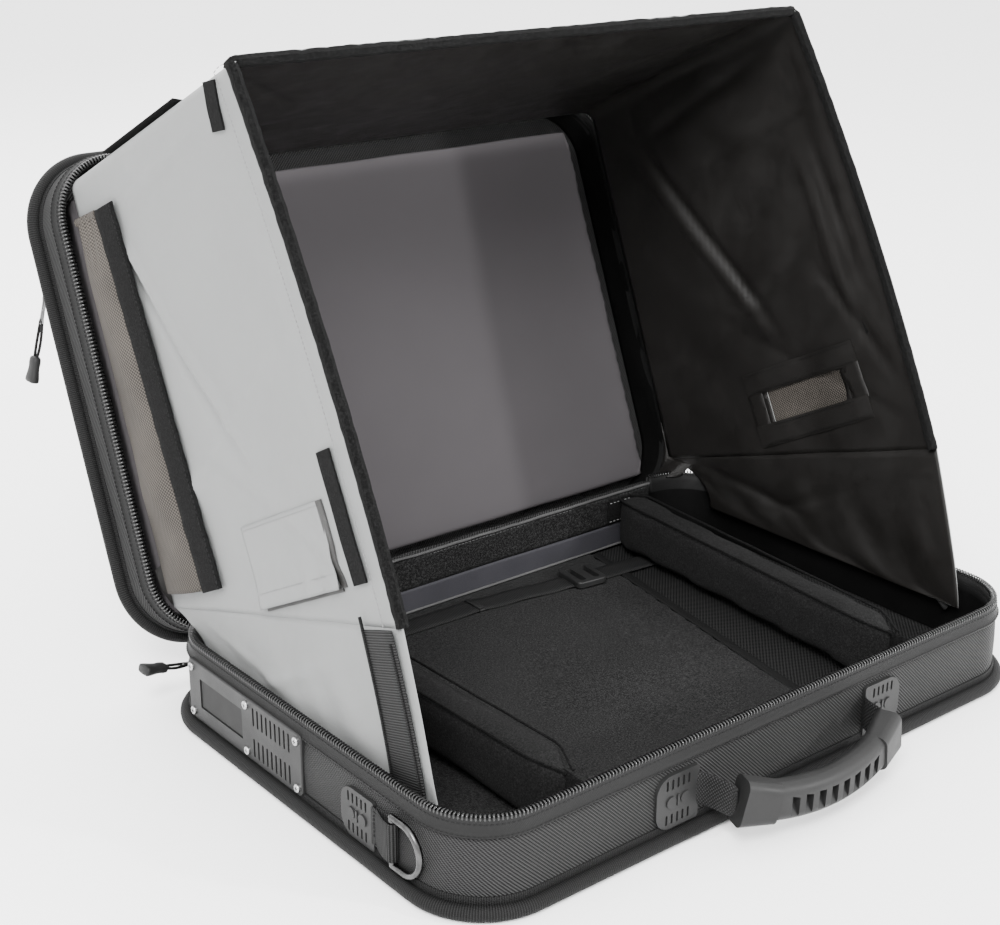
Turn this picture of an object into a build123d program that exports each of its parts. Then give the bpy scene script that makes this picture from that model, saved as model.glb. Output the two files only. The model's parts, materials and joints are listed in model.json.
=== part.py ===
from build123d import *
import math
import os

os.makedirs("parts", exist_ok=True)

# A soft zip-round laptop case, open, with a fabric sun hood standing in its lid.
# Origin: centre of the base's footprint on the surface it stands on. +X to the user's right,
# +Y towards the hinge, +Z up. Millimetres.

# ------------------------------------------------------------------ driving dimensions
case_w = 470.0  # width over the walls
case_d = 317.5  # depth over the walls
corner_r = 43.0  # plan corner radius
wall_t = 4.0  # padded wall
lining_t = 1.2  # inner lining
shell_top_z = 56.0  # top of the base's walls, under the zip tape
tape_top_z = 58.2  # top of the zip tape
coil_top_z = 61.6  # top of the base's half of the zip coil
bumper_out = 8.6  # the bottom roll stands this far out
bumper_h = 10.0  # height of the bottom roll
rear_wall_z = 43.5  # the rear wall is lower, where the lid swings past
rear_cut_y = 147.0  # where the rim and its zip end
hinge_half = 184.0  # half the width of the fabric hinge

lid_open_deg = 111.5  # the lid's lean from closed
lid_root_z = 44.5  # height of the lid's zip plane at the hinge edge
lid_depth = 40.0  # from the zip plane to the back of the lid
coil_low_w = -0.3  # the lid's coil stops this short of the zip plane

floor_top_z = 15.0  # top of the floor board
inner_y = case_d / 2 - wall_t - lining_t  # inside face of the front wall's lining
front = -case_d / 2
rear = case_d / 2

hood_x = 223.0  # the hood's side panels stand here
sheet_t = 1.2  # coated fabric, as a solid
trim_t = 1.2  # hook tape
webbing_t = 1.6

divider_t = 25.0
divider_top_z = 60.0
divider_low_z = 17.2

plate_t = 3.0  # moulded plates on the walls
plate_low_z = 10.5
ring_wire_r = 2.0
ring_x = case_w / 2 + 4.2  # the D-ring's bar
ring_y = -97.0
ring_z = 28.5
ring_half = 15.0
ring_reach = 25.0

handle_pivot_z = 29.0
handle_pitch = 177.0  # between the two handle plates
grip_half = 62.0

tail_turn = math.radians(71.0)  # where on the rear corners the zip's ends run down

SIDES = (("left", -1), ("right", 1))

# The lid's own plane: x to the right, y up the lid from its hinge edge, z towards the user.
lean = math.radians(lid_open_deg)
lid_normal = (0.0, -math.sin(lean), -math.cos(lean))
lid_plane = Plane(origin=(0, rear, lid_root_z), x_dir=(1, 0, 0), z_dir=lid_normal)


# ------------------------------------------------------------------ shared shapes
def keep(builder, label):
    """Labels a finished sub-part and writes it."""
    builder.part.label = label
    export_step(builder.part, f"parts/{label}.step")


def outline(grow, mode=Mode.ADD):
    """The case's plan outline, moved outwards by grow, in the current sketch."""
    RectangleRounded(case_w + 2 * grow, case_d + 2 * grow, corner_r + grow, mode=mode)


def lid_outline(grow, mode=Mode.ADD):
    """The same outline in the lid's plane, whose origin is at the hinge edge."""
    with Locations((0, case_d / 2)):
        outline(grow, mode)


def base_ring(z0, z1, outer, inner):
    """A closed band round the base, between two offsets of its outline."""
    with BuildSketch(Plane.XY.offset(z0)) as ring:
        outline(outer)
        outline(inner, Mode.SUBTRACT)
    extrude(ring.sketch, amount=z1 - z0)


def lid_ring(w0, w1, outer, inner):
    """A closed band round the lid, from w0 to w1 in front of its zip plane."""
    with BuildSketch(lid_plane.offset(w0)) as ring:
        lid_outline(outer)
        lid_outline(inner, Mode.SUBTRACT)
    extrude(ring.sketch, amount=w1 - w0)


def cut_rear(low_z):
    """Takes away everything behind the rim's ends and above low_z."""
    with BuildSketch(Plane.XY.offset(low_z)) as behind:
        with Locations((0, rear_cut_y + 20)):
            Rectangle(case_w + 40, 40)
    extrude(behind.sketch, amount=60, mode=Mode.SUBTRACT)


def lid_point(v, w):
    """(y, z) of a point v up the lid and w in front of its zip plane."""
    y = rear - v * math.cos(lean) - w * math.sin(lean)
    z = lid_root_z + v * math.sin(lean) - w * math.cos(lean)
    return (y, z)


def side_plane(x):
    """A plane across X, whose local x and y are the row's Y and Z."""
    return Plane(origin=(x, 0, 0), x_dir=(0, 1, 0), z_dir=(1, 0, 0))


def side_wall_plane(sx, y, z):
    """The outside of a side wall: local x along the wall, local y up, local z outwards."""
    return Plane(origin=(sx * case_w / 2, y, z), x_dir=(0, sx, 0), z_dir=(sx, 0, 0))


def front_wall_plane(x, z):
    """The outside of the front wall: local x to the right, local y up, local z outwards."""
    return Plane(origin=(x, front, z), x_dir=(1, 0, 0), z_dir=(0, -1, 0))


def corner_plane(sx, out, z):
    """Across a rear corner, out from its wall: local x along the wall, local y outwards, local z up."""
    away = Vector(sx * math.cos(tail_turn), math.sin(tail_turn), 0)
    centre = Vector(sx * (case_w / 2 - corner_r), rear - corner_r, z)
    along = away.cross(Vector(0, 0, 1))
    return Plane(origin=centre + away * (corner_r + out), x_dir=along, z_dir=(0, 0, 1))


def polygon_sheet(plane, points, thick):
    """A flat sheet with a polygon outline, thick along the plane's normal."""
    with BuildSketch(plane) as sheet:
        with BuildLine():
            Polyline(*points, close=True)
        make_face()
    extrude(sheet.sketch, amount=thick)


def band(points, half):
    """The outline of a strip of width 2 * half along a line of points."""
    near, far = [], []
    for i, (x, y) in enumerate(points):
        ax, ay = points[max(i - 1, 0)]
        bx, by = points[min(i + 1, len(points) - 1)]
        run = math.hypot(bx - ax, by - ay)
        nx, ny = -(by - ay) / run, (bx - ax) / run
        near.append((x + nx * half, y + ny * half))
        far.append((x - nx * half, y - ny * half))
    return near + far[::-1]


# ------------------------------------------------------------------ base: shell and rim
with BuildPart() as base_shell:
    with BuildSketch(Plane.XY):
        outline(0)
    extrude(amount=shell_top_z)
    with BuildSketch(Plane.XY.offset(wall_t)):
        outline(-wall_t)
    extrude(amount=shell_top_z, mode=Mode.SUBTRACT)
    cut_rear(rear_wall_z)
keep(base_shell, "base_shell")

with BuildPart() as base_bumper:
    base_ring(0, bumper_h, bumper_out, 0)
    fillet(base_bumper.faces().sort_by(Axis.Z)[-1].outer_wire().edges(), 6)
    fillet(base_bumper.faces().sort_by(Axis.Z)[0].outer_wire().edges(), 3)
keep(base_bumper, "base_bumper")

with BuildPart() as base_zip_tape:
    base_ring(shell_top_z, tape_top_z, -0.8, -3.4)
    cut_rear(shell_top_z)
    # its two ends, down the outside of the rear corners
    for side, sx in SIDES:
        with BuildSketch(corner_plane(sx, 0.2, 14)):
            with Locations((0, 0.6)):
                Rectangle(13, 1.2)
        extrude(amount=26)
keep(base_zip_tape, "base_zip_tape")

with BuildPart() as base_zip_coil:
    base_ring(tape_top_z, coil_top_z, -0.4, -4.6)
    cut_rear(shell_top_z)
keep(base_zip_coil, "base_zip_coil")

with BuildPart() as base_lining:
    base_ring(wall_t, shell_top_z, -wall_t, -wall_t - lining_t)
    cut_rear(rear_wall_z)
keep(base_lining, "base_lining")

# ------------------------------------------------------------------ base: floor
board_rear_x = 126.0  # right-hand edge of the floor board, at the rear and at the front
board_front_x = 70.0
floor_gap = 0.6

with BuildPart() as floor_board:
    with BuildSketch(Plane.XY.offset(wall_t)):
        outline(-wall_t - lining_t - 0.4)
        with BuildLine():
            Polyline((board_rear_x, 160), (board_front_x, -160), (260, -160), (260, 160), close=True)
        make_face(mode=Mode.SUBTRACT)
    extrude(amount=floor_top_z - wall_t)
keep(floor_board, "floor_board")

with BuildPart() as mesh_pocket:
    with BuildSketch(Plane.XY.offset(wall_t)):
        outline(-wall_t - lining_t - 0.4)
        with BuildLine():
            Polyline(
                (board_rear_x + floor_gap, 160),
                (board_front_x + floor_gap, -160),
                (-260, -160),
                (-260, 160),
                close=True,
            )
        make_face(mode=Mode.SUBTRACT)
    extrude(amount=floor_top_z - wall_t - 1.5)
keep(mesh_pocket, "mesh_pocket")

strap_line = [(-128, 131), (-6, 128), (86, 116), (150, 111)]
strap_half = 10.0
strap_z = floor_top_z + 0.1

with BuildPart() as floor_strap:
    with BuildSketch(Plane.XY.offset(strap_z)):
        with BuildLine():
            Polyline(*band(strap_line, strap_half), close=True)
        make_face()
    extrude(amount=webbing_t)
    # a narrow keeper loop sewn across the strap
    with BuildSketch(Plane.XY.offset(strap_z + webbing_t)):
        with Locations((-6, 128)):
            Rectangle(5, 19, rotation=-3)
    extrude(amount=1.4)
keep(floor_strap, "floor_strap")

with BuildPart() as strap_buckle:
    with BuildSketch(Plane.XY.offset(strap_z + webbing_t + 0.1)):
        with Locations(Location((86, 116, 0), (0, 0, -7))):
            RectangleRounded(26, 30, 4)
            with Locations((-6, 0), (6, 0)):
                RectangleRounded(5, 22, 1.5, mode=Mode.SUBTRACT)
    extrude(amount=4.4)
    fillet(strap_buckle.faces().sort_by(Axis.Z)[-1].outer_wire().edges(), 1.2)
keep(strap_buckle, "strap_buckle")

# ------------------------------------------------------------------ base: rear wall inside
band_y = inner_y - 3.6
band_t = 1.4

with BuildPart() as rear_loop_band:
    with BuildSketch(Plane.XY.offset(34)):
        with Locations((0, band_y)):
            Rectangle(2 * hinge_half, band_t)
    extrude(amount=23)
keep(rear_loop_band, "rear_loop_band")

with BuildPart() as rear_lining_strip:
    with BuildSketch(Plane.XY.offset(floor_top_z + 0.3)):
        with Locations((0, band_y)):
            Rectangle(2 * hinge_half, band_t)
    extrude(amount=18.4)
keep(rear_lining_strip, "rear_lining_strip")

with BuildPart() as rear_piping:
    with BuildSketch(side_plane(-hinge_half)):
        with Locations((band_y - 0.4, 58.4)):
            Circle(1.2)
    extrude(amount=2 * hinge_half)
keep(rear_piping, "rear_piping")

with BuildPart() as hinge_panel:
    with BuildSketch(side_plane(-hinge_half)):
        with BuildLine():
            Polyline(
                (inner_y - 2.6, 20),
                (inner_y - 2.6, 58),
                (rear - 4.8, 59.4),
                (rear + 3.2, 51.6),
                (rear + 1.9, 50.2),
                (inner_y - 0.4, 56.4),
                (inner_y - 0.4, 20),
                close=True,
            )
        make_face()
    extrude(amount=2 * hinge_half)
keep(hinge_panel, "hinge_panel")

# ------------------------------------------------------------------ base: name plate, left wall
plate_len = 130.0
plate_high = 41.0
id_plane = side_wall_plane(-1, 59, plate_low_z + plate_high / 2)
screw_spots = [(x, y) for x in (-60, 4.5, 60) for y in (-15.5, 15.5)]
card_centre = (-26, 0)

with BuildPart() as id_plate:
    with BuildSketch(id_plane):
        RectangleRounded(plate_len, plate_high, 4)
    extrude(amount=plate_t)
    fillet(id_plate.faces().sort_by(Axis.X)[0].outer_wire().edges(), 1.0)
    with BuildSketch(id_plane.offset(plate_t - 1.4)):
        with Locations(card_centre):
            Rectangle(50, 20)
        for row_y in (10.5, -10.5):
            with Locations((32, row_y)):
                with GridLocations(4.9, 1, 9, 1):
                    SlotOverall(12.5, 1.8, rotation=90)
    extrude(amount=2, mode=Mode.SUBTRACT)
keep(id_plate, "id_plate")

with BuildPart() as id_card:
    with BuildSketch(id_plane.offset(plate_t - 1.35)):
        with Locations(card_centre):
            Rectangle(49, 19)
    extrude(amount=0.5)
keep(id_card, "id_card")

with BuildPart() as id_plate_screws:
    with BuildSketch(id_plane.offset(plate_t)):
        with Locations(*screw_spots):
            Circle(2.7)
    extrude(amount=1.5)
    fillet(id_plate_screws.faces().group_by(Axis.X)[0].edges(), 0.7)
    with BuildSketch(id_plane.offset(plate_t + 0.7)):
        with Locations(*screw_spots):
            Rectangle(2.8, 0.7)
            Rectangle(0.7, 2.8)
    extrude(amount=1, mode=Mode.SUBTRACT)
keep(id_plate_screws, "id_plate_screws")


# ------------------------------------------------------------------ base: strap and handle plates
def vented_plate(plane, length, high, round_end):
    """A moulded plate, rounded at the end round_end (-1 or 1), with two rows of slots."""
    with BuildSketch(plane) as plate_face:
        Rectangle(length, high)
        with Locations((-round_end * length / 4, 0)):
            Rectangle(length / 2, high)
        RectangleRounded(length, high, 11, mode=Mode.INTERSECT)
        with Locations((-round_end * (length / 2 - 6), 0)):
            RectangleRounded(12, high, 2)
    extrude(plate_face.sketch, amount=plate_t)
    with BuildSketch(plane.offset(plate_t - 1.2)) as slots:
        for row_y in (high / 2 - 6, 6 - high / 2):
            with Locations((0, row_y)):
                with GridLocations(4.2, 1, 5, 1):
                    SlotOverall(6.5, 1.6, rotation=90)
    extrude(slots.sketch, amount=2, mode=Mode.SUBTRACT)
    with BuildSketch(plane.offset(plate_t)) as rivets:
        with Locations((-5.5, 0), (5.5, 0)):
            Circle(3.6)
        Rectangle(1.6, 7)
    extrude(rivets.sketch, amount=0.9)


arm_y = ring_y - ring_reach + ring_half
ring_low_z = ring_z - ring_half
ring_high_z = ring_z + ring_half

for side, sx in SIDES:
    with BuildPart() as dring_plate:
        vented_plate(side_wall_plane(sx, -62, plate_low_z + 16), 32, 31, sx)
    keep(dring_plate, f"dring_plate_{side}")

    # webbing stitched to the wall and folded round the ring's bar
    with BuildPart() as dring_webbing:
        with BuildSketch(Plane.XY.offset(ring_low_z + 3)):
            with BuildLine():
                Polyline(
                    (sx * (case_w / 2 + 0.3), -78.6),
                    (sx * (case_w / 2 + 3.0), -78.6),
                    (sx * (ring_x + 3.6), ring_y),
                    (sx * (ring_x - 3.6), ring_y),
                    (sx * (case_w / 2 + 0.3), ring_y + 3),
                    close=True,
                )
            make_face()
            with Locations((sx * ring_x, ring_y)):
                Circle(3.7)
                Circle(ring_wire_r + 0.15, mode=Mode.SUBTRACT)
        extrude(amount=2 * ring_half - 6)
    keep(dring_webbing, f"dring_webbing_{side}")

    with BuildPart() as d_ring:
        with BuildLine():
            Line((sx * ring_x, ring_y, ring_low_z), (sx * ring_x, arm_y, ring_low_z))
            ThreePointArc(
                (sx * ring_x, arm_y, ring_low_z),
                (sx * ring_x, ring_y - ring_reach, ring_z),
                (sx * ring_x, arm_y, ring_high_z),
            )
            Line((sx * ring_x, arm_y, ring_high_z), (sx * ring_x, ring_y, ring_high_z))
        with BuildSketch(Plane(origin=(sx * ring_x, ring_y, ring_low_z), z_dir=(0, -1, 0))):
            Circle(ring_wire_r)
        sweep()
        with Locations((sx * ring_x, ring_y, ring_z)):
            Cylinder(ring_wire_r, 2 * ring_half)
        with Locations((sx * ring_x, ring_y, ring_low_z), (sx * ring_x, ring_y, ring_high_z)):
            Sphere(ring_wire_r)
    keep(d_ring, f"d_ring_{side}")

for side, sx in SIDES:
    with BuildPart() as handle_plate:
        vented_plate(front_wall_plane(sx * handle_pitch / 2, plate_low_z + 17.5), 33, 34, sx)
    keep(handle_plate, f"handle_plate_{side}")

    # webbing from beside the plate's inner edge out to the grip
    web_line = [(sx * 70.6, -160.6), (sx * 68.6, -168), (sx * 67.6, -177), (sx * 67.0, -184.5)]
    with BuildPart() as handle_webbing:
        with BuildSketch(Plane.XY.offset(handle_pivot_z - 11)):
            with BuildLine():
                Polyline(*band(web_line, 1.1), close=True)
            make_face()
        extrude(amount=22)
    keep(handle_webbing, f"handle_webbing_{side}")

# ------------------------------------------------------------------ handle grip
grip_end_y = -187.0
grip_mid_y = -198.0
grip_mid_z = 22.0
slot_count = 8

with BuildPart() as handle_grip:
    with BuildLine() as grip_path:
        ThreePointArc(
            (-grip_half, grip_end_y, handle_pivot_z),
            (0, grip_mid_y, grip_mid_z),
            (grip_half, grip_end_y, handle_pivot_z),
        )
    grip_line = grip_path.line
    with BuildSketch(Plane(origin=grip_line @ 0, x_dir=(0, 0, 1), z_dir=grip_line % 0)):
        RectangleRounded(24, 15, 6.5)
    sweep()
    for end, way in ((0, 1), (1, -1)):
        cuff_plane = Plane(origin=grip_line @ end, x_dir=(0, 0, 1), z_dir=(grip_line % end) * way)
        with BuildSketch(cuff_plane.offset(-3)):
            RectangleRounded(29, 17, 5)
        with BuildSketch(cuff_plane.offset(20)):
            RectangleRounded(25, 15.4, 5.5)
        loft()
    # finger slots across the outside of the grip
    for i in range(slot_count):
        spot = grip_line @ (0.225 + i * 0.55 / (slot_count - 1))
        with Locations(Location((spot.X, spot.Y - 7.5, spot.Z - 2.5), (-25, 0, 0))):
            Box(5.4, 6, 17, mode=Mode.SUBTRACT)
keep(handle_grip, "handle_grip")

# ------------------------------------------------------------------ dividers
divider_rear_y = 146.0
divider_front_y = -134.0
divider_reach = {"left": (138, 133), "right": (143, 120)}  # inner face from the middle: rear, front

for side, sx in SIDES:
    rear_x, front_x = divider_reach[side]
    with BuildPart() as divider:
        with BuildSketch(Plane.XY.offset(divider_low_z)):
            with BuildLine():
                Polyline(
                    (sx * rear_x, divider_rear_y),
                    (sx * (rear_x + divider_t), divider_rear_y),
                    (sx * (front_x + divider_t), divider_front_y),
                    (sx * front_x, divider_front_y),
                    close=True,
                )
            make_face()
        extrude(amount=divider_top_z - divider_low_z)
        long_edges = divider.faces().sort_by(Axis.Z)[-1].edges().sort_by(SortBy.LENGTH)[-2:]
        fillet(long_edges, 9)
    keep(divider, f"divider_{side}")

    # hook tabs at the pinched ends: a neck and a tab against the front wall, a tab at the rear
    with BuildPart() as divider_tabs:
        with BuildSketch(Plane.XY.offset(30)):
            with Locations((sx * (front_x + divider_t / 2), (divider_front_y - inner_y) / 2)):
                Rectangle(3, inner_y + divider_front_y - 0.6)
            with Locations((sx * (front_x + divider_t / 2), 1.1 - inner_y)):
                Rectangle(32, 1.6)
        extrude(amount=24)
        with BuildSketch(Plane.XY.offset(36)):
            with Locations((sx * (rear_x + divider_t / 2), divider_rear_y + 1.2)):
                Rectangle(30, 2.2)
        extrude(amount=19)
    keep(divider_tabs, f"divider_tabs_{side}")


# ------------------------------------------------------------------ zip sliders and pulls
def pull_solids(top, way, link_len, cord_len):
    """A zip pull: a metal link, a cord loop and a moulded end, from top along way."""
    along = Plane(origin=top, x_dir=(0, 1, 0), z_dir=way)
    cord_at = 0.5 + link_len
    end_at = cord_at + cord_len
    with BuildSketch(along.offset(0.5)) as link:
        RectangleRounded(6, 1.6, 0.7)
    extrude(link.sketch, amount=link_len)
    with BuildSketch(along.offset(cord_at)) as cord:
        RectangleRounded(7, 3, 1.4)
    extrude(cord.sketch, amount=cord_len)
    with BuildSketch(along.offset(end_at)) as end_top:
        RectangleRounded(9, 6, 2)
    with BuildSketch(along.offset(end_at + pull_end_len)) as end_bottom:
        RectangleRounded(12, 7, 2)
    loft(sections=[end_top.sketch, end_bottom.sketch])


pull_end_len = 17.5
main_pull_top = (210.5, 168.0, 20.0)
main_pull_way = (22.0, -2.0, 5.0)

for side, sx in SIDES:
    with BuildPart() as zip_slider:
        with BuildSketch(corner_plane(sx, 4.7, 15)):
            RectangleRounded(9, 6.0, 2.2)
        extrude(amount=9.0)
    keep(zip_slider, f"zip_slider_{side}")

    top_x, top_y, top_z = main_pull_top
    way_x, way_y, way_z = main_pull_way
    with BuildPart() as zip_pull:
        pull_solids((sx * top_x, top_y, top_z), (sx * way_x, way_y, way_z), 8, 14)
    keep(zip_pull, f"zip_pull_{side}")

# ------------------------------------------------------------------ lid: shell and rim
with BuildPart() as lid_shell:
    lid_ring(-lid_depth, -6, 0, -wall_t)
    with BuildSketch(lid_plane.offset(-lid_depth)):
        lid_outline(-wall_t)
    extrude(amount=wall_t)
keep(lid_shell, "lid_shell")

with BuildPart() as lid_bumper:
    lid_ring(-lid_depth - 0.6, -lid_depth + bumper_h, bumper_out, 0)
    lid_axis = Axis((0, 0, 0), lid_normal)
    fillet(lid_bumper.faces().sort_by(lid_axis)[-1].outer_wire().edges(), 5)
    fillet(lid_bumper.faces().sort_by(lid_axis)[0].outer_wire().edges(), 4)
keep(lid_bumper, "lid_bumper")

with BuildPart() as lid_zip_tape:
    lid_ring(-6, -3.8, -0.8, -3.4)
keep(lid_zip_tape, "lid_zip_tape")

with BuildPart() as lid_zip_coil:
    lid_ring(-3.8, coil_low_w, -0.4, -4.6)
keep(lid_zip_coil, "lid_zip_coil")

with BuildPart() as lid_lining:
    lid_ring(-lid_depth + wall_t, -6, -wall_t, -wall_t - lining_t)
keep(lid_lining, "lid_lining")

# a padded panel against the back of the lid; the hood folds flat in front of it
lid_panel_v = (13.0, 296.0)
lid_panel_half = 216.0

with BuildPart() as lid_inner_panel:
    with BuildSketch(lid_plane.offset(-lid_depth + wall_t + 0.1)):
        with Locations((0, sum(lid_panel_v) / 2)):
            RectangleRounded(2 * lid_panel_half, lid_panel_v[1] - lid_panel_v[0], 6)
    extrude(amount=10)
keep(lid_inner_panel, "lid_inner_panel")

# ------------------------------------------------------------------ lid: pocket on the back
pocket_low_v = 60.0  # the pocket's zip runs up both sides from here and across the top
pocket_inset = 11.0

with BuildPart() as lid_pocket_panel:
    with BuildSketch(lid_plane.offset(-lid_depth)):
        lid_outline(-pocket_inset - 3)
    extrude(amount=-2.4)
    fillet(lid_pocket_panel.faces().sort_by(lid_axis)[0].outer_wire().edges(), 1.6)
keep(lid_pocket_panel, "lid_pocket_panel")

with BuildPart() as pocket_zip:
    with BuildSketch(lid_plane.offset(-lid_depth)):
        lid_outline(-pocket_inset + 4)
        lid_outline(-pocket_inset - 2.6, Mode.SUBTRACT)
        with Locations((0, pocket_low_v - 40)):
            Rectangle(case_w + 20, 80, mode=Mode.SUBTRACT)
    extrude(amount=-2.0)
keep(pocket_zip, "pocket_zip")

slider_v = 239.0
with BuildPart() as pocket_slider:
    with BuildSketch(lid_plane.offset(-lid_depth - 2.1)):
        with Locations((-case_w / 2 + 9.5, slider_v)):
            RectangleRounded(9, 14, 2.5)
    extrude(amount=-5)
keep(pocket_slider, "pocket_slider")

pocket_pull_y, pocket_pull_z = lid_point(slider_v, -lid_depth - 10.5)
with BuildPart() as pocket_pull:
    pull_solids((-235.5, pocket_pull_y, pocket_pull_z), (-16.0, 0.0, -60.0), 19, 22)
keep(pocket_pull, "pocket_pull")

# ------------------------------------------------------------------ lid: gussets beside the hood
gusset_low_v = 32.0
gusset_top_v = 277.0
gusset_root_w = 3.0  # just in front of the zip
gusset_reach_w = (56.0, 35.0)  # out to the hook tape, at its lower and its upper end
hook_width = 24.0
gusset_x = hood_x + 2.2

for side, sx in SIDES:
    with BuildPart() as lid_gusset:
        corners = [(gusset_low_v + 8, gusset_root_w), (gusset_top_v, gusset_root_w)]
        corners += [(gusset_top_v, gusset_reach_w[1]), (gusset_low_v, gusset_reach_w[0])]
        polygon_sheet(side_plane(sx * gusset_x), [lid_point(v, w) for v, w in corners], sx * 1.6)
    keep(lid_gusset, f"lid_gusset_{side}")

with BuildPart() as gusset_hooks:
    for side, sx in SIDES:
        corners = [(gusset_low_v, gusset_reach_w[0] + 0.6), (gusset_top_v, gusset_reach_w[1] + 0.6)]
        corners += [
            (gusset_top_v - 14, gusset_reach_w[1] + hook_width),
            (gusset_low_v, gusset_reach_w[0] + hook_width),
        ]
        polygon_sheet(side_plane(sx * gusset_x), [lid_point(v, w) for v, w in corners], sx * trim_t)
keep(gusset_hooks, "gusset_hooks")

# ------------------------------------------------------------------ hood: side panels
top_front = (62.6, 424.6)  # (y, z) of the hood's front top corners
top_rear = lid_point(304.0, 1.0)  # where its top meets the lid
edge_mid = (-20.0, 284.0)  # a point on the bowed front edge
fold_front = (-87.2, 146.0)  # front end of the fold between hood and skirt
fold_rear = lid_point(22.0, 1.0)
binding_w = 7.0
binding_t = 6.5  # mostly on the inside of the cloth

port_centre = (34.0, 152.0)
port_tilt = -27.4
flap_centre = (21.0, 150.5)
port_size = (84.0, 24.0)
frame_size = (110.0, 56.0)
flap_size = (96.0, 50.0)


def hood_edge(shift):
    """The bowed front edge of a side panel, moved back by shift, in the current line."""
    ThreePointArc(
        (top_front[0] + shift, top_front[1] - 0.46 * shift),
        (edge_mid[0] + shift, edge_mid[1]),
        (fold_front[0] + shift, fold_front[1] - 0.38 * shift),
    )


def tilted(centre):
    """A place in a side plane, turned to the slope of the cable port."""
    return Locations(Location((centre[0], centre[1], 0), (0, 0, port_tilt)))


for side, sx in SIDES:
    with BuildPart() as hood_side:
        with BuildSketch(side_plane(sx * (hood_x - sheet_t / 2))):
            with BuildLine():
                hood_edge(binding_w + 0.3)
                Polyline(
                    (fold_front[0] + binding_w + 0.3, fold_front[1] - 0.38 * (binding_w + 0.3)),
                    fold_rear,
                    top_rear,
                    (top_front[0] + binding_w + 0.3, top_front[1] - 0.46 * (binding_w + 0.3)),
                )
            make_face()
            with tilted(port_centre):
                Rectangle(*port_size, mode=Mode.SUBTRACT)
        extrude(amount=sx * sheet_t)
    keep(hood_side, f"hood_side_{side}")

    with BuildPart() as port_frame:
        with BuildSketch(side_plane(sx * (hood_x - sheet_t / 2 - 0.1))):
            with tilted(port_centre):
                Rectangle(*frame_size)
                Rectangle(*port_size, mode=Mode.SUBTRACT)
        extrude(amount=-sx * 1.0)
    keep(port_frame, f"port_frame_{side}")

    with BuildPart() as port_flap:
        with BuildSketch(side_plane(sx * (hood_x + sheet_t / 2 + 0.3))):
            with tilted(flap_centre):
                Rectangle(*flap_size)
        extrude(amount=sx * 1.4)
    keep(port_flap, f"port_flap_{side}")

# ------------------------------------------------------------------ hood: top, binding, hook strips
top_run = Vector(0, top_front[0] - top_rear[0], top_front[1] - top_rear[1])
top_len = top_run.length
# local x to the left, local y forwards along the top, local z up and out
top_plane = Plane(origin=(0, *top_rear), x_dir=(-1, 0, 0), z_dir=top_run.cross(Vector(1, 0, 0)))

with BuildPart() as hood_top:
    with BuildSketch(top_plane.offset(0.2)):
        with Locations((0, (top_len - binding_w - 0.3) / 2)):
            Rectangle(2 * hood_x + sheet_t, top_len - binding_w - 0.3)
    extrude(amount=sheet_t)
keep(hood_top, "hood_top")

with BuildPart() as hood_binding:
    with BuildSketch(top_plane.offset(2.2 - binding_t)):
        with Locations((0, (top_len - binding_w / 2))):
            Rectangle(2 * hood_x + 3, binding_w)
    extrude(amount=binding_t)
    for side, sx in SIDES:
        with BuildSketch(side_plane(sx * (hood_x + 1.5 - binding_t))):
            with BuildLine():
                hood_edge(0)
                hood_edge(binding_w)
                Line(
                    (fold_front[0], fold_front[1]),
                    (fold_front[0] + binding_w, fold_front[1] - 0.38 * binding_w),
                )
                Line(
                    (top_front[0], top_front[1]),
                    (top_front[0] + binding_w, top_front[1] - 0.46 * binding_w),
                )
            make_face()
        extrude(amount=sx * binding_t)
keep(hood_binding, "hood_binding")

with BuildPart() as hood_hook_strips:
    # on top, beside the front edge and along both side edges
    with BuildSketch(top_plane.offset(0.3 + sheet_t)):
        with Locations((0, (top_len - binding_w - 9))):
            Rectangle(84, 14)
        with Locations(
            (200, (top_len - binding_w - 9)), (-200, (top_len - binding_w - 9))
        ):
            Rectangle(36, 14)
        with Locations((216, 99), (-216, 99)):
            Rectangle(12, 104)
    extrude(amount=trim_t)
    # on the side panels: at the top of the front edge, and above the fold
    for side, sx in SIDES:
        outside = side_plane(sx * (hood_x + sheet_t / 2 + 0.1))
        polygon_sheet(outside, [(91, 407.5), (85, 382), (71, 385.5), (78, 413)], sx * trim_t)
        polygon_sheet(outside, [(-12, 223), (-47, 157), (-60, 164), (-25, 230)], sx * trim_t)
keep(hood_hook_strips, "hood_hook_strips")

# ------------------------------------------------------------------ hood: lower skirts in the base
skirt_low_z = 38.0
skirt_front_y = -116.0
skirt_rear_y = 120.0

for side, sx in SIDES:
    with BuildPart() as hood_skirt:
        polygon_sheet(
            side_plane(sx * (hood_x - sheet_t / 2)),
            [
                (fold_front[0], fold_front[1] - 0.6),
                (-115, 62),
                (skirt_front_y, skirt_low_z),
                (skirt_rear_y, skirt_low_z),
                (131, 63),
                (fold_rear[0] - 1, fold_rear[1] - 0.8),
            ],
            sx * sheet_t,
        )
    keep(hood_skirt, f"hood_skirt_{side}")

with BuildPart() as skirt_bands:
    for side, sx in SIDES:
        polygon_sheet(
            side_plane(sx * (hood_x + sheet_t / 2 + 0.1)),
            [(-80, 142), (-107, 66), (-110, 40), (-76, 40), (-73, 62), (-50, 133)],
            sx * trim_t,
        )
keep(skirt_bands, "skirt_bands")
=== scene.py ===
import json
import math

import bmesh
import bpy
import numpy as np
from mathutils import Matrix, Vector, noise


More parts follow.
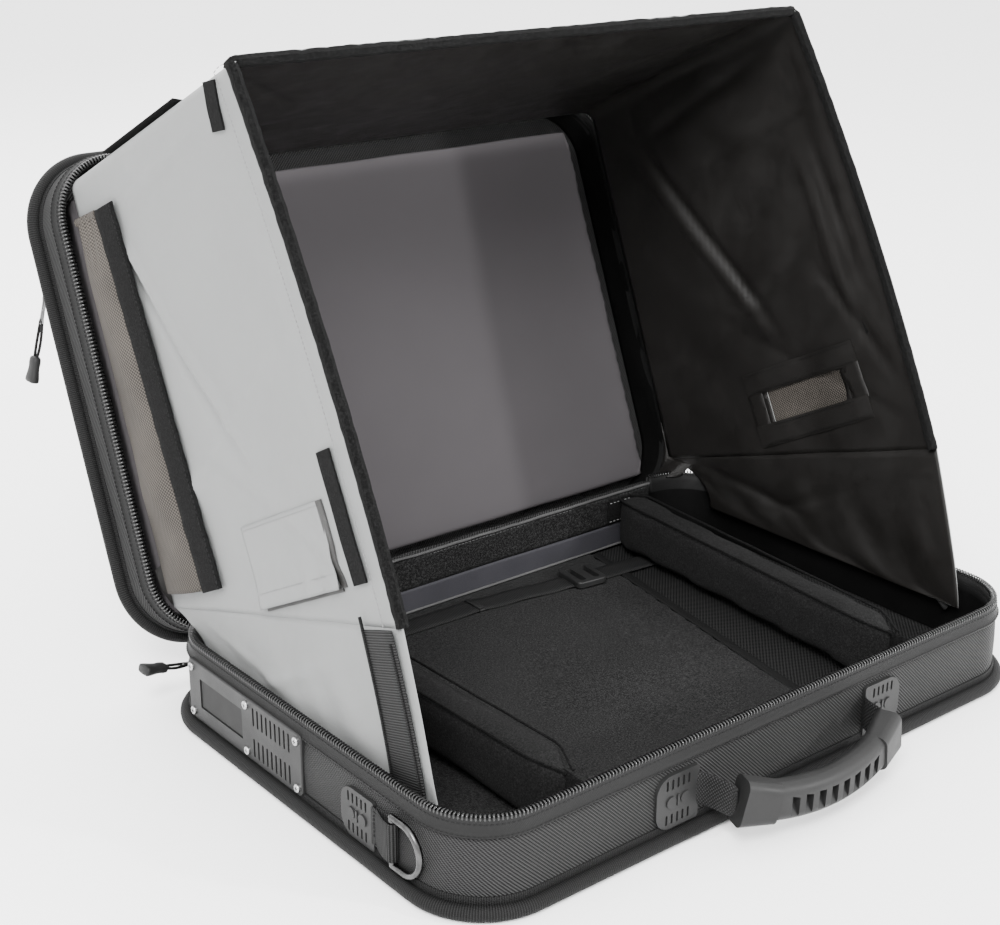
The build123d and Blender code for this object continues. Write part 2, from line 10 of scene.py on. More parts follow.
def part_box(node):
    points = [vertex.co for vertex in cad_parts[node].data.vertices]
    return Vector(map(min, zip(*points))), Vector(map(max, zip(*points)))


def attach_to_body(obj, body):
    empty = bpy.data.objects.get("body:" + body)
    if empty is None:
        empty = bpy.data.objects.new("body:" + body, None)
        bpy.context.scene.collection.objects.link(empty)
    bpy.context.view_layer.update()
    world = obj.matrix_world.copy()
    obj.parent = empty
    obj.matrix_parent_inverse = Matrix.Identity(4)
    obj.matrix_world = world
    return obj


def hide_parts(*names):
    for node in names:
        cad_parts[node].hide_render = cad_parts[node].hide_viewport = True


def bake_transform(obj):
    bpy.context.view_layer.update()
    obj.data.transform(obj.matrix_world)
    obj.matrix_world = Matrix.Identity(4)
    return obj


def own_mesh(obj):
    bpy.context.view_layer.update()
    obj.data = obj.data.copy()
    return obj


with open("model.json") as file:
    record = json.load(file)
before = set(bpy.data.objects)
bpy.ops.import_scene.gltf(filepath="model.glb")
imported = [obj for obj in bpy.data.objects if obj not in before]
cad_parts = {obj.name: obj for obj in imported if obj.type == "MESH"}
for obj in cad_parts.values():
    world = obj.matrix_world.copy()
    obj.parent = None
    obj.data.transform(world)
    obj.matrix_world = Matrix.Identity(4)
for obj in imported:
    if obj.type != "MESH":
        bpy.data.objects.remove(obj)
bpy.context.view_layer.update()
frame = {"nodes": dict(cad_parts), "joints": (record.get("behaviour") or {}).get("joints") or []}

# ------------------------------------------------------------------ sizes, from the frame
MM = 0.001
JOINTS = {j["name"]: j for j in frame["joints"]}
SIDES = (("left", -1), ("right", 1))

shell_low, shell_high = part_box("base_shell")
CASE_W = shell_high.x - shell_low.x
CASE_D = shell_high.y - shell_low.y
CORNER_R = 43 * MM
RIM_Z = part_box("base_zip_coil")[1].z  # top of the base's zip coil
BOARD_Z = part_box("floor_board")[1].z
ROLL_OUT = -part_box("base_bumper")[0].x - CASE_W / 2
REAR = shell_high.y
INNER_Y = -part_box("base_lining")[0].y - 1.2 * MM  # inside face of the front wall
HOOD_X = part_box("hood_side_right")[0].x + 0.6 * MM

# the lid's own axes: u to the right, v up the lid from its hinge edge, w towards the user
LEAN = math.radians(JOINTS["lid_hinge"]["range_deg"][1])
LID_UP = Vector((0, -math.cos(LEAN), math.sin(LEAN)))
LID_OUT = Vector((0, -math.sin(LEAN), -math.cos(LEAN)))
LID_ROOT = Vector((0, REAR, 44.5 * MM))
LID_DEPTH = 40.6 * MM


def on_lid(u, v, w):
    """A point of the lid's own axes, in the row frame."""
    return LID_ROOT + Vector((u, 0, 0)) + LID_UP * v + LID_OUT * w


def lid_yz(v, w):
    p = on_lid(0, v, w)
    return (p.y, p.z)


def base_place(x, y, h):
    """A point over the case's plan, h above the base's underside."""
    return Vector((x, y, h))


def lid_place(x, y, h):
    """The same over the lid, h in front of the lid's back."""
    return on_lid(x, y + CASE_D / 2, h - LID_DEPTH)


# ------------------------------------------------------------------ camera, light and floor
def set_stage():
    """A camera at the product shot's angle, a pale floor and soft studio light."""
    scene = bpy.context.scene
    cam = bpy.data.objects.new("camera", bpy.data.cameras.new("camera"))
    forward = Vector((0.59025, 0.72749, -0.34979)).normalized()
    right = Vector((0.77754, -0.62882, 0.00424)).normalized()
    up = right.cross(forward)
    turn = Matrix((right, up, -forward)).transposed().to_4x4()
    cam.matrix_world = Matrix.Translation(Vector((-0.6954, -0.7498, 0.5428))) @ turn
    cam.data.lens = 61.89
    cam.data.sensor_width = 36
    cam.data.clip_start = 0.01
    scene.collection.objects.link(cam)
    scene.camera = cam

    world = bpy.data.worlds.new("studio")
    world.use_nodes = True
    background = world.node_tree.nodes["Background"]
    background.inputs["Color"].default_value = (1, 1, 1, 1)
    background.inputs["Strength"].default_value = 3.3
    scene.world = world

    lamps = (
        ("key", (-1.3, -1.1, 1.9), 1.0, 110),
        ("window", (0.95, -1.65, 0.8), 0.11, 34),
        ("back", (0.3, 1.7, 1.8), 1.6, 50),
    )
    for name, spot, size, power in lamps:
        lamp = bpy.data.lights.new(name, "AREA")
        lamp.shape = "DISK"
        lamp.size = size
        lamp.energy = power
        holder = bpy.data.objects.new(name, lamp)
        holder.location = spot
        aim = Vector((0, 0.02, 0.15)) - Vector(spot)
        holder.rotation_euler = aim.to_track_quat("-Z", "Y").to_euler()
        scene.collection.objects.link(holder)

    bpy.ops.mesh.primitive_plane_add(size=12, location=(0, 0, 0))
    floor = bpy.context.object
    floor.name = "floor"
    paper = bpy.data.materials.new("paper_floor")
    paper.use_nodes = True
    shader = paper.node_tree.nodes["Principled BSDF"]
    shader.inputs["Base Color"].default_value = (0.97, 0.97, 0.97, 1)
    shader.inputs["Roughness"].default_value = 0.7
    floor.data.materials.append(paper)


set_stage()


# ------------------------------------------------------------------ material tools
class Shade:
    """A material's node tree, with short calls for the nodes that the materials below share."""

    def __init__(self, name):
        self.material = bpy.data.materials.new(name)
        self.material.use_nodes = True
        self.tree = self.material.node_tree
        self.shader = self.tree.nodes["Principled BSDF"]

    def node(self, kind, settings, values, out=0):
        """Makes a node. values are by socket index: a number, a colour or another socket."""
        made = self.tree.nodes.new(kind)
        for key, value in settings.items():
            setattr(made, key, value)
        for index, value in values.items():
            if isinstance(value, bpy.types.NodeSocket):
                self.tree.links.new(value, made.inputs[index])
            else:
                made.inputs[index].default_value = value
        return made.outputs[out]

    def maths(self, what, a, b=0.0):
        return self.node("ShaderNodeMath", {"operation": what}, {0: a, 1: b})

    def waves(self, along, pitch):
        """A sine of that pitch in metres, from 0 to 1."""
        turns = self.maths("MULTIPLY", along, 2 * math.pi / pitch)
        return self.maths("ADD", self.maths("MULTIPLY", self.maths("SINE", turns), 0.5), 0.5)

    def blend(self, a, b, share):
        """a and b added in the shares 1 - share and share."""
        return self.maths("ADD", self.maths("MULTIPLY", a, 1 - share), self.maths("MULTIPLY", b, share))

    def split(self, vector):
        split = self.tree.nodes.new("ShaderNodeSeparateXYZ")
        self.tree.links.new(vector, split.inputs[0])
        return split.outputs

    def cloth(self):
        """The cloth's own coordinates in metres: along it and across it."""
        return self.split(self.node("ShaderNodeUVMap", {"uv_map": "cloth"}, {}))

    def place(self):
        return self.node("ShaderNodeTexCoord", {}, {}, 3)

    def noise(self, scale, detail=3.0, rough=0.55):
        """Noise over the piece, with scale features to the metre."""
        return self.node(
            "ShaderNodeTexNoise", {}, {0: self.place(), 2: scale, 3: detail, 4: rough}
        )

    def cells(self, scale, out=0):
        return self.node("ShaderNodeTexVoronoi", {}, {0: self.place(), 2: scale}, out)

    def ramp(self, value, low, high, dark, light):
        """dark below low, light above high, and smooth between."""
        share = self.node("ShaderNodeMapRange", {}, {0: value, 1: low, 2: high, 3: 0.0, 4: 1.0})
        return self.node(
            "ShaderNodeMix", {"data_type": "RGBA"}, {0: share, 6: (*dark, 1), 7: (*light, 1)}, 2
        )

    def tint(self, color, value, low, high, least):
        """color, darkened to least where value is low."""
        share = self.node("ShaderNodeMapRange", {}, {0: value, 1: low, 2: high, 3: least, 4: 1.0})
        return self.node(
            "ShaderNodeMix",
            {"data_type": "RGBA", "blend_type": "MULTIPLY"},
            {0: 1.0, 6: color, 7: share},
            2,
        )

    def span(self, value, low, high, to_low, to_high):
        return self.node(
            "ShaderNodeMapRange", {}, {0: value, 1: low, 2: high, 3: to_low, 4: to_high}
        )

    def finish(self, color, height, depth, rough, **sockets):
        """Joins colour, relief and roughness to the shader. depth is the relief in metres."""
        self.tree.links.new(color, self.shader.inputs["Base Color"])
        bump = self.node("ShaderNodeBump", {}, {})
        bump.node.inputs["Distance"].default_value = depth
        self.tree.links.new(height, bump.node.inputs["Height"])
        self.tree.links.new(bump, self.shader.inputs["Normal"])
        if isinstance(rough, bpy.types.NodeSocket):
            self.tree.links.new(rough, self.shader.inputs["Roughness"])
        else:
            self.shader.inputs["Roughness"].default_value = rough
        for key, value in sockets.items():
            self.shader.inputs[key.replace("_", " ")].default_value = value
        return self.material


def grey(value, warm=0.0):
    return (value * (1 + warm), value, value * (1 - warm))


def twill(name, dark, light, pitch, depth, rough, sheen=0.1):
    """Diagonal ribs with a finer yarn across them, faded in places."""
    s = Shade(name)
    u, v, _ = s.cloth()
    ribs = s.waves(s.maths("SUBTRACT", u, v), pitch)
    yarns = s.waves(s.maths("ADD", s.maths("MULTIPLY", u, 0.4), v), pitch * 0.55)
    height = s.blend(s.blend(ribs, yarns, 0.28), s.noise(900), 0.18)
    color = s.tint(s.ramp(height, 0.2, 0.85, dark, light), s.noise(14, 4), 0.3, 0.7, 0.82)
    return s.finish(
        color, height, depth, rough, Sheen_Weight=sheen, Sheen_Roughness=0.5, Specular_IOR_Level=0.13
    )


def plain_weave(
    name, dark, light, pitch, depth, rough, metallic=0.0, sheen=0.0, creases=0.12, shine=0.12
):
    """A fine one-over-one weave, with faint creases in its relief and gloss, and painted shade along those
    creases in its tone.
    """
    s = Shade(name)
    u, v, _ = s.cloth()
    over = s.maths("MULTIPLY", s.waves(u, pitch), s.waves(v, pitch))
    under = s.maths(
        "MULTIPLY",
        s.waves(s.maths("ADD", u, pitch / 2), pitch),
        s.waves(s.maths("ADD", v, pitch / 2), pitch),
    )
    weave = s.maths("ADD", over, under)
    crease_relief_and_shade = s.noise(38, 6, 0.62)
    height = s.blend(weave, crease_relief_and_shade, 0.5)
    # tone: the weave, random noise, and the crease noise, which paints shade into the creases
    tone = s.blend(s.blend(weave, crease_relief_and_shade, 0.35), s.noise(9, 3), 0.3)
    color = s.ramp(tone, 0.25, 0.75, dark, light)
    roughness = s.span(crease_relief_and_shade, 0.3, 0.7, rough - creases, rough + creases)
    return s.finish(
        color,
        height,
        depth,
        roughness,
        Metallic=metallic,
        Sheen_Weight=sheen,
        Specular_IOR_Level=shine,
    )


def ribbed(name, dark, light, pitch, depth, rough):
    """Grosgrain and webbing: ribs across the run, with a fine yarn along them."""
    s = Shade(name)
    u, v, _ = s.cloth()
    ribs = s.waves(u, pitch)
    height = s.blend(ribs, s.waves(s.maths("ADD", v, s.maths("MULTIPLY", u, 0.3)), pitch * 0.8), 0.25)
    height = s.blend(height, s.noise(1300), 0.15)
    color = s.tint(s.ramp(height, 0.2, 0.8, dark, light), s.noise(20, 4), 0.3, 0.7, 0.85)
    return s.finish(
        color, height, depth, rough, Specular_IOR_Level=0.1
    )


def diamond_web(name, dark, light, pitch, depth, rough):
    """Heavy webbing with a diamond weave."""
    s = Shade(name)
    u, v, _ = s.cloth()
    rise = s.waves(s.maths("ADD", u, s.maths("MULTIPLY", v, 0.9)), pitch)
    fall = s.waves(s.maths("SUBTRACT", u, s.maths("MULTIPLY", v, 0.9)), pitch)
    height = s.blend(s.maths("MULTIPLY", rise, fall), s.noise(1200), 0.2)
    color = s.ramp(height, 0.05, 0.6, dark, light)
    return s.finish(color, height, depth, rough, Specular_IOR_Level=0.1)


def pile(name, dark, light, grain, depth, fleck=0.5, rough=0.95):
    """Looped or brushed pile: fine flecks of light yarn over dark."""
    s = Shade(name)
    loops = s.cells(grain)
    fuzz = s.noise(grain * 1.4, 4, 0.7)
    height = s.blend(fuzz, loops, 0.45)
    flecks = s.blend(fuzz, s.noise(grain * 0.5, 2), 0.35)
    color = s.tint(
        s.ramp(flecks, fleck - 0.08, fleck + 0.16, dark, light), s.noise(16, 3), 0.3, 0.7, 0.8
    )
    return s.finish(
        color, height, depth, rough, Sheen_Weight=0.01, Sheen_Roughness=0.7, Specular_IOR_Level=0.05
    )


def open_mesh(name, dark, light, pitch):
    """Net with small round holes over a dark backing."""
    s = Shade(name)
    x, y, _ = s.split(s.place())
    holes = s.maths("MULTIPLY", s.waves(x, pitch), s.waves(y, pitch))
    staggered = s.maths(
        "MULTIPLY",
        s.waves(s.maths("ADD", x, pitch / 2), pitch),
        s.waves(s.maths("ADD", y, pitch / 2), pitch),
    )
    net = s.maths("SUBTRACT", 1.0, s.maths("ADD", holes, staggered))
    color = s.ramp(net, 0.3, 0.6, dark, light)
    return s.finish(color, s.blend(net, s.noise(900), 0.15), 0.4 * MM, 0.6, Specular_IOR_Level=0.1)


def moulded(name, dark, light, rough, grain=1500, depth=0.06 * MM, coat=0.0, shine=0.2):
    """Moulded plastic or rubber: fine spark grain, a little uneven in tone and gloss."""
    s = Shade(name)
    fine, broad = s.noise(grain, 4, 0.6), s.noise(45, 5, 0.6)
    color = s.ramp(s.blend(broad, fine, 0.3), 0.3, 0.7, dark, light)
    roughness = s.span(broad, 0.3, 0.7, rough - 0.07, rough + 0.09)
    return s.finish(color, fine, depth, roughness, Coat_Weight=coat, Specular_IOR_Level=shine)


def metal(name, dark, light, rough):
    """Plated metal with faint drawing marks."""
    s = Shade(name)
    marks, broad = s.noise(2400, 2, 0.5), s.noise(120, 5, 0.6)
    color = s.ramp(broad, 0.3, 0.7, dark, light)
    roughness = s.span(s.blend(broad, marks, 0.3), 0.3, 0.7, rough - 0.05, rough + 0.1)
    return s.finish(color, marks, 0.02 * MM, roughness, Metallic=1.0)


LOOK = {
    "nylon_black": twill("nylon_twill", grey(0.001), grey(0.036), 2.3 * MM, 0.8 * MM, 0.6, 0.0),
    "binding_black": ribbed("binding", grey(0.0015), grey(0.012), 1.3 * MM, 0.5 * MM, 0.62),
    "zip_tape_black": twill("zip_tape", grey(0.003), grey(0.014), 0.9 * MM, 0.15 * MM, 0.55, 0.0),
    "zip_coil_black": moulded("zip_coil", grey(0.004), grey(0.01), 0.24, shine=0.5),
    "lining_black": plain_weave("lining", grey(0.0015), grey(0.004), 0.7 * MM, 0.15 * MM, 0.6, shine=0.06),
    "loop_black": pile("loop_pile", grey(0.003), grey(0.045), 1300, 0.5 * MM, 0.55),
    "mesh_black": open_mesh("pocket_mesh", grey(0.0005), grey(0.016), 3.0 * MM),
    "webbing_black": ribbed("webbing", grey(0.002), grey(0.022), 1.5 * MM, 0.5 * MM, 0.6),
    "handle_web": diamond_web("diamond_webbing", grey(0.002), grey(0.024), 2.2 * MM, 0.6 * MM, 0.6),
    "plastic_black": moulded("moulded_plastic", grey(0.009), grey(0.015), 0.42),
    "card_dark": moulded("card", grey(0.012), grey(0.018), 0.7, 600, 0.03 * MM),
    "screw_steel": metal("screw_steel", grey(0.3), grey(0.5), 0.26),
    "ring_steel": metal("ring_steel", grey(0.04), grey(0.1), 0.24),
    "slider_metal": metal("slider_metal", grey(0.14), grey(0.26), 0.32),
    "rubber_black": moulded("rubber", grey(0.006), grey(0.012), 0.5, 900),
    "divider_black": pile("brushed_foam_cover", grey(0.004), grey(0.026), 1700, 0.25 * MM, 0.54),
    "hook_black": pile("hook_tape", grey(0.001), grey(0.012), 1300, 0.6 * MM, 0.53),
    "piping_grey": ribbed("piping", grey(0.03), grey(0.08), 1.0 * MM, 0.15 * MM, 0.6),
    "panel_grey": plain_weave(
        "panel_cloth", (0.044, 0.041, 0.043), (0.058, 0.054, 0.057), 0.9 * MM, 0.1 * MM, 0.85, shine=0.05
    ),
    "strip_grey": plain_weave(
        "strip_cloth", (0.016, 0.016, 0.019), (0.034, 0.033, 0.038), 0.9 * MM, 0.15 * MM, 0.6
    ),
    "gusset_taupe": plain_weave(
        "taupe_mesh", (0.004, 0.0035, 0.003), (0.082, 0.073, 0.064), 2.3 * MM, 0.7 * MM, 0.7, creases=0.05
    ),
    "hood_silver": plain_weave(
        "silver_nylon", (0.155, 0.158, 0.157), (0.195, 0.199, 0.197), 0.8 * MM, 0.3 * MM, 0.5, 0.1
    ),
    "satin_black": plain_weave(
        "black_satin", (0.005, 0.0046, 0.0043), (0.01, 0.0092, 0.0085), 0.6 * MM, 0.2 * MM, 0.4, shine=0.3
    ),
    "board_felt": pile("board_felt", grey(0.004), grey(0.04), 1700, 0.3 * MM, 0.53),
    "thread_black": ribbed("thread_black", grey(0.002), grey(0.01), 0.5 * MM, 0.1 * MM, 0.5),
    "thread_grey": ribbed("thread_grey", grey(0.12), grey(0.22), 0.5 * MM, 0.1 * MM, 0.5),
}


# ------------------------------------------------------------------ mesh tools
def smooth_step(x, a, b):
    t = min(max((x - a) / (b - a), 0.0), 1.0)
    return t * t * (3 - 2 * t)


def wave_noise(*place):
    """Smooth noise from about -0.5 to 0.5."""
    return noise.noise(Vector((*place, 0.0, 0.0)[:3]))


class Mesh:
    """Gathers points, faces and cloth coordinates for one piece."""

    def __init__(self):
        self.points, self.faces, self.cloth, self.slots = [], [], [], []

    def add(self, part, slot=0):
        points, faces, cloth = part
        first = len(self.points)
        self.points += [tuple(p) for p in points]
        self.cloth += [tuple(c) for c in cloth]
        self.faces += [tuple(first + i for i in f) for f in faces]
        self.slots += [slot] * len(faces)
        return self

    def make(self, name, *looks, sharp=45):
        """The piece as an object. sharp is the angle from which an edge isn't smoothed."""
        mesh = bpy.data.meshes.new(name)
        mesh.from_pydata(self.points, [], self.faces)
        loops = np.zeros(len(mesh.loops), np.int32)
        mesh.loops.foreach_get("vertex_index", loops)
        layer = mesh.uv_layers.new(name="cloth")
        layer.data.foreach_set("uv", np.array(self.cloth, np.float32)[loops].ravel())
        mesh.polygons.foreach_set("material_index", np.array(self.slots, np.int32))
        mesh.polygons.foreach_set("use_smooth", np.ones(len(self.faces), bool))
        mesh.set_sharp_from_angle(angle=math.radians(sharp))
        for look in looks:
            mesh.materials.append(LOOK[look])
        mesh.validate()
        obj = bpy.data.objects.new(name, mesh)
        bpy.context.scene.collection.objects.link(obj)
        return obj


def settle(obj):
    """Applies the piece's modifiers."""
    graph = bpy.context.evaluated_depsgraph_get()
    mesh = bpy.data.meshes.new_from_object(obj.evaluated_get(graph))
    obj.modifiers.clear()
    obj.data = mesh
    return obj


def attach(obj, body, slot, *nodes):
    """Puts a finished piece on its body and hides the CAD nodes it stands for. slot is not used."""
    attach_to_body(obj, body)
    if nodes:
        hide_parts(*nodes)
    return obj


def grid(points, cloth, closed=False):
    """Faces over rows of points. closed joins the last row to the first."""
    rows, cols = len(points), len(points[0])
    faces = []
    for i in range(rows if closed else rows - 1):
        a, b = i * cols, ((i + 1) % rows) * cols
        faces += [(a + j, b + j, b + j + 1, a + j + 1) for j in range(cols - 1)]
    return [p for row in points for p in row], faces, [c for row in cloth for c in row]


def runs(path):
    """The distance along a path at each of its points."""
    total, out = 0.0, [0.0]
    for a, b in zip(path, path[1:]):
        total += (Vector(b) - Vector(a)).length
        out.append(total)
    return out


def tangents(path, closed):
    n = len(path)
    out = []
    for i in range(n):
        a = path[(i - 1) % n] if closed or i else path[0]
        b = path[(i + 1) % n] if closed or i < n - 1 else path[-1]
        out.append((Vector(b) - Vector(a)).normalized())
    return out


def wrap_faces(n, sides, closed):
    """Faces round n rings of points, with caps unless the run is closed."""
    faces = []
    for i in range(n if closed else n - 1):
        a, b = i * sides, ((i + 1) % n) * sides
        faces += [
            (a + k, a + (k + 1) % sides, b + (k + 1) % sides, b + k) for k in range(sides)
        ]
    if not closed:
        faces.append(tuple(range(sides - 1, -1, -1)))
        faces.append(tuple((n - 1) * sides + k for k in range(sides)))
    return faces


def tube(path, radius, sides=8, closed=False, start=0.0):
    """A round cord along a path."""
    path = [Vector(p) for p in path]
    ways, along = tangents(path, closed), runs(path)
    normal = ways[0].orthogonal().normalized()
    points, cloth = [], []
    for p, way, s in zip(path, ways, along):
        normal = (normal - way * normal.dot(way)).normalized()
        side = way.cross(normal)
        for k in range(sides):
            turn = 2 * math.pi * k / sides
            points.append(p + (normal * math.cos(turn) + side * math.sin(turn)) * radius)
            cloth.append((start + s, radius * turn))
    return points, wrap_faces(len(path), sides, closed), cloth


def strap(path, across, width, thick, edge=None, closed=False, crown=0.0):
    """A flat strap along a path. across is the direction of its width, one or one per point."""
    path = [Vector(p) for p in path]
    ways, along = tangents(path, closed), runs(path)
    several = not isinstance(across, Vector)
    edge = edge or thick * 0.5
    half, deep = width / 2, thick / 2
    lines = 4
    section = [(-half, 0.0)]
    section += [
        (-half + edge + (2 * half - 2 * edge) * k / lines, -deep - crown * math.sin(math.pi * k / lines))
        for k in range(lines + 1)
    ]
    section.append((half, 0.0))
    section += [
        (half - edge - (2 * half - 2 * edge) * k / lines, deep + crown * math.sin(math.pi * k / lines))
        for k in range(lines + 1)
    ]
    points, cloth = [], []
    for i, (p, way, s) in enumerate(zip(path, ways, along)):
        wide = (across[i] if several else across).copy()
        wide = (wide - way * wide.dot(way)).normalized()
        up = wide.cross(way)
        for x, z in section:
            points.append(p + wide * x + up * z)
            cloth.append((s, x))
    return points, wrap_faces(len(path), len(section), closed), cloth


def stitches(path, out, pitch=3.2 * MM, length=2.2 * MM, radius=0.35 * MM):
    """A row of stitches along a path, standing out of the cloth along out."""
    path = [Vector(p) for p in path]
    along = runs(path)
    points, faces, cloth = [], [], []
    count = max(1, int(along[-1] / pitch))
    gap, place, i = along[-1] / count, 0.0, 0
    sides = 5
    for k in range(count):
        place = (k + 0.5) * gap
        while i < len(along) - 2 and along[i + 1] < place:
            i += 1
        run = along[i + 1] - along[i]
        share = (place - along[i]) / run if run else 0.0
        centre = path[i].lerp(path[i + 1], share)
        way = (path[i + 1] - path[i]).normalized()
        up = out(centre) if callable(out) else out
        side = way.cross(up).normalized()
        first = len(points)
        for at, wide in ((-0.5, 0.35), (-0.25, 1.0), (0.25, 1.0), (0.5, 0.35)):
            for j in range(sides):
                turn = 2 * math.pi * j / sides
                ring = side * math.cos(turn) + up * math.sin(turn)
                points.append(centre + way * (at * length) + ring * radius * wide)
                cloth.append((at * length, radius * turn))
        for a in range(3):
            low, high = first + a * sides, first + (a + 1) * sides
            faces += [
                (low + j, low + (j + 1) % sides, high + (j + 1) % sides, high + j)
                for j in range(sides)
            ]
        faces.append(tuple(first + j for j in range(sides - 1, -1, -1)))
        faces.append(tuple(first + 3 * sides + j for j in range(sides)))
    return points, faces, cloth


def thin_sheet(name, points, cloth, thick, looks, hole=None):
    """A closed thin sheet over rows of points, its second look on the back. hole(obj), if given, cuts openings
    in the sheet before it is thickened.
    """
    obj = Mesh().add(grid(points, cloth)).make(name, *looks, sharp=60)
    if hole:
        hole(obj)
    shell = obj.modifiers.new("thickness", "SOLIDIFY")
    shell.thickness, shell.offset, shell.use_even_offset = thick, -1, False
    shell.material_offset = len(looks) - 1
    return settle(obj)


def swell(obj, voxel, cap, pressure=4.0):
    """Fills a pad by cloth simulation: each point moves at most cap from where it was."""
    remesh = obj.modifiers.new("remesh", "REMESH")
    remesh.mode, remesh.voxel_size = "VOXEL", voxel
    settle(obj)
    scene = bpy.context.scene
    scene.frame_set(1)
    before = [v.co.copy() for v in obj.data.vertices]
    cloth = obj.modifiers.new("cloth", "CLOTH")
    cloth.settings.use_pressure = True
    cloth.settings.uniform_pressure_force = pressure
    cloth.settings.effector_weights.gravity = 0
    for f in range(1, 21):
        scene.frame_set(f)
    settle(obj)
    scene.frame_set(1)
    for v, start in zip(obj.data.vertices, before):
        move = v.co - start
        if move.length > cap:
            v.co = start + move.normalized() * cap
    relax = obj.modifiers.new("relax", "SMOOTH")
    relax.factor, relax.iterations = 0.5, 3
    fine = obj.modifiers.new("fine", "SUBSURF")
    fine.levels = fine.render_levels = 1
    settle(obj)
    for p in obj.data.polygons:
        p.use_smooth = True
    return obj


# ------------------------------------------------------------------ the case's outline
def case_loop(step=3 * MM, turned=False):
    """Points round the plan outline from the middle of the hinge side: (x, y, nx, ny, run)."""
    half_w, half_d, r = CASE_W / 2, CASE_D / 2, CORNER_R
    corners = [(1, 1, 90), (1, -1, 0), (-1, -1, -90), (-1, 1, -180)]
    raw = [(0.0, half_d, 0.0, 1.0)]
    arc = max(6, round(math.pi / 2 * r / step))
    for sx, sy, begin in corners:
        for k in range(arc + 1):
            turn = math.radians(begin - 90 * k / arc)
            nx, ny = math.cos(turn), math.sin(turn)
            raw.append((sx * (half_w - r) + r * nx, sy * (half_d - r) + r * ny, nx, ny))
    raw.append((0.0, half_d, 0.0, 1.0))
    out, run = [(*raw[0], 0.0)], 0.0
    for a, b in zip(raw, raw[1:]):
        length = math.hypot(b[0] - a[0], b[1] - a[1])
        n = max(1, round(length / step))
        for k in range(1, n + 1):
            t = k / n
            mixed = [a[i] + (b[i] - a[i]) * t for i in range(4)]
            size = math.hypot(mixed[2], mixed[3])
            out.append((mixed[0], mixed[1], mixed[2] / size, mixed[3] / size, run + length * t))
        run += length
    if turned:
        out = [(-x, -y, -nx, -ny, s) for x, y, nx, ny, s in out]
    return out


BASE_LOOP = case_loop()
LID_LOOP = case_loop(turned=True)
AROUND = BASE_LOOP[-1][4]
HINGE_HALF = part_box("hinge_panel")[1].x


def rim_only(loop):
    """The part of the outline outside the fabric hinge."""
    return [p for p in loop if HINGE_HALF + 2 * MM < p[4] < AROUND - HINGE_HALF - 2 * MM]


def band_round(loop, place, profile):
    """Rows of points round the outline. profile(run) gives the (grow, height) points of a section."""
    points, cloth = [], []
    for x, y, nx, ny, run in loop:
        row, uv, last, across = [], [], None, 0.0
        for grow, h in profile(run):
            if last:
                across += math.hypot(grow - last[0], h - last[1])
            last = (grow, h)
            row.append(place(x + nx * grow, y + ny * grow, h))
            uv.append((run, across))
        points.append(row)
        cloth.append(uv)
    return points, cloth


def closed_section(profile):
    """The same section, closed on itself."""
    return lambda run: (lambda p: p + p[:1])(profile(run))


# ------------------------------------------------------------------ walls, roll and zip of either half
def walls(name, loop, place, rim, low_rim, look):
    """A padded cup: underside, bulging wall, rim and inner side, as one closed shell."""
    wall, floor_h = 4 * MM, 4 * MM

    def section(run):
        hinge = 1 - smooth_step(min(run, AROUND - run), HINGE_HALF - 6 * MM, HINGE_HALF + 8 * MM)
        top = rim + (low_rim - rim) * hinge
        rows = [(-6 * MM, 0.7 * MM), (-2 * MM, 0.7 * MM), (0.0, 1.6 * MM)]
        for k in range(1, 12):
            t = k / 12
            puff = 1.3 * MM * math.sin(math.pi * t) * (1 + 0.5 * wave_noise(run * 14, t * 2))
            rows.append((puff, 1.6 * MM + (top - 2.6 * MM) * t))
        rows += [(-0.3 * MM, top - 0.4 * MM), (-1.4 * MM, top), (-wall, top - 0.3 * MM)]
        rows += [(-wall, floor_h + (top - floor_h) * (1 - k / 4)) for k in range(1, 5)]
        return rows

    points, cloth = band_round(loop, place, section)
    part = Mesh().add(grid(points, cloth))
    cols = len(points[0])
    n = len(points) - 1
    for at, flip in ((0, False), (cols - 1, True)):
        middle = len(part.points)
        ring = [i * cols + at for i in range(n)]
        h = 0.7 * MM if not flip else floor_h
        part.points.append(tuple(place(0, 0, h)))
        part.cloth.append((0, 0))
        caps = []
        for k, i in enumerate(ring):
            j = ring[(k + 1) % n]
            caps.append((middle, i, j) if flip else (middle, j, i))
        part.faces += caps
        part.slots += [0] * len(caps)
    obj = part.make(name, look, sharp=70)
    weld(obj)
    flat_cloth(obj, place)
    return obj


def weld(obj):
    """Joins the points that lie on each other, and turns the faces outwards."""
    work = bmesh.new()
    work.from_mesh(obj.data)
    bmesh.ops.remove_doubles(work, verts=work.verts, dist=0.01 * MM)
    bmesh.ops.recalc_face_normals(work, faces=work.faces)
    work.to_mesh(obj.data)
    work.free()


def flat_cloth(obj, place):
    """Lays the weave of the flat underside straight over it, not round the rim."""
    mesh, layer = obj.data, obj.data.uv_layers["cloth"].data
    origin, ex = place(0, 0, 0), place(1, 0, 0) - place(0, 0, 0)
    ey = place(0, 1, 0) - origin
    flat = ex.cross(ey)
    for face in mesh.polygons:
        if abs(face.normal.dot(flat)) > 0.97:
            for loop in face.loop_indices:
                p = mesh.vertices[mesh.loops[loop].vertex_index].co - origin
                layer[loop].uv = (p.dot(ex), p.dot(ey))


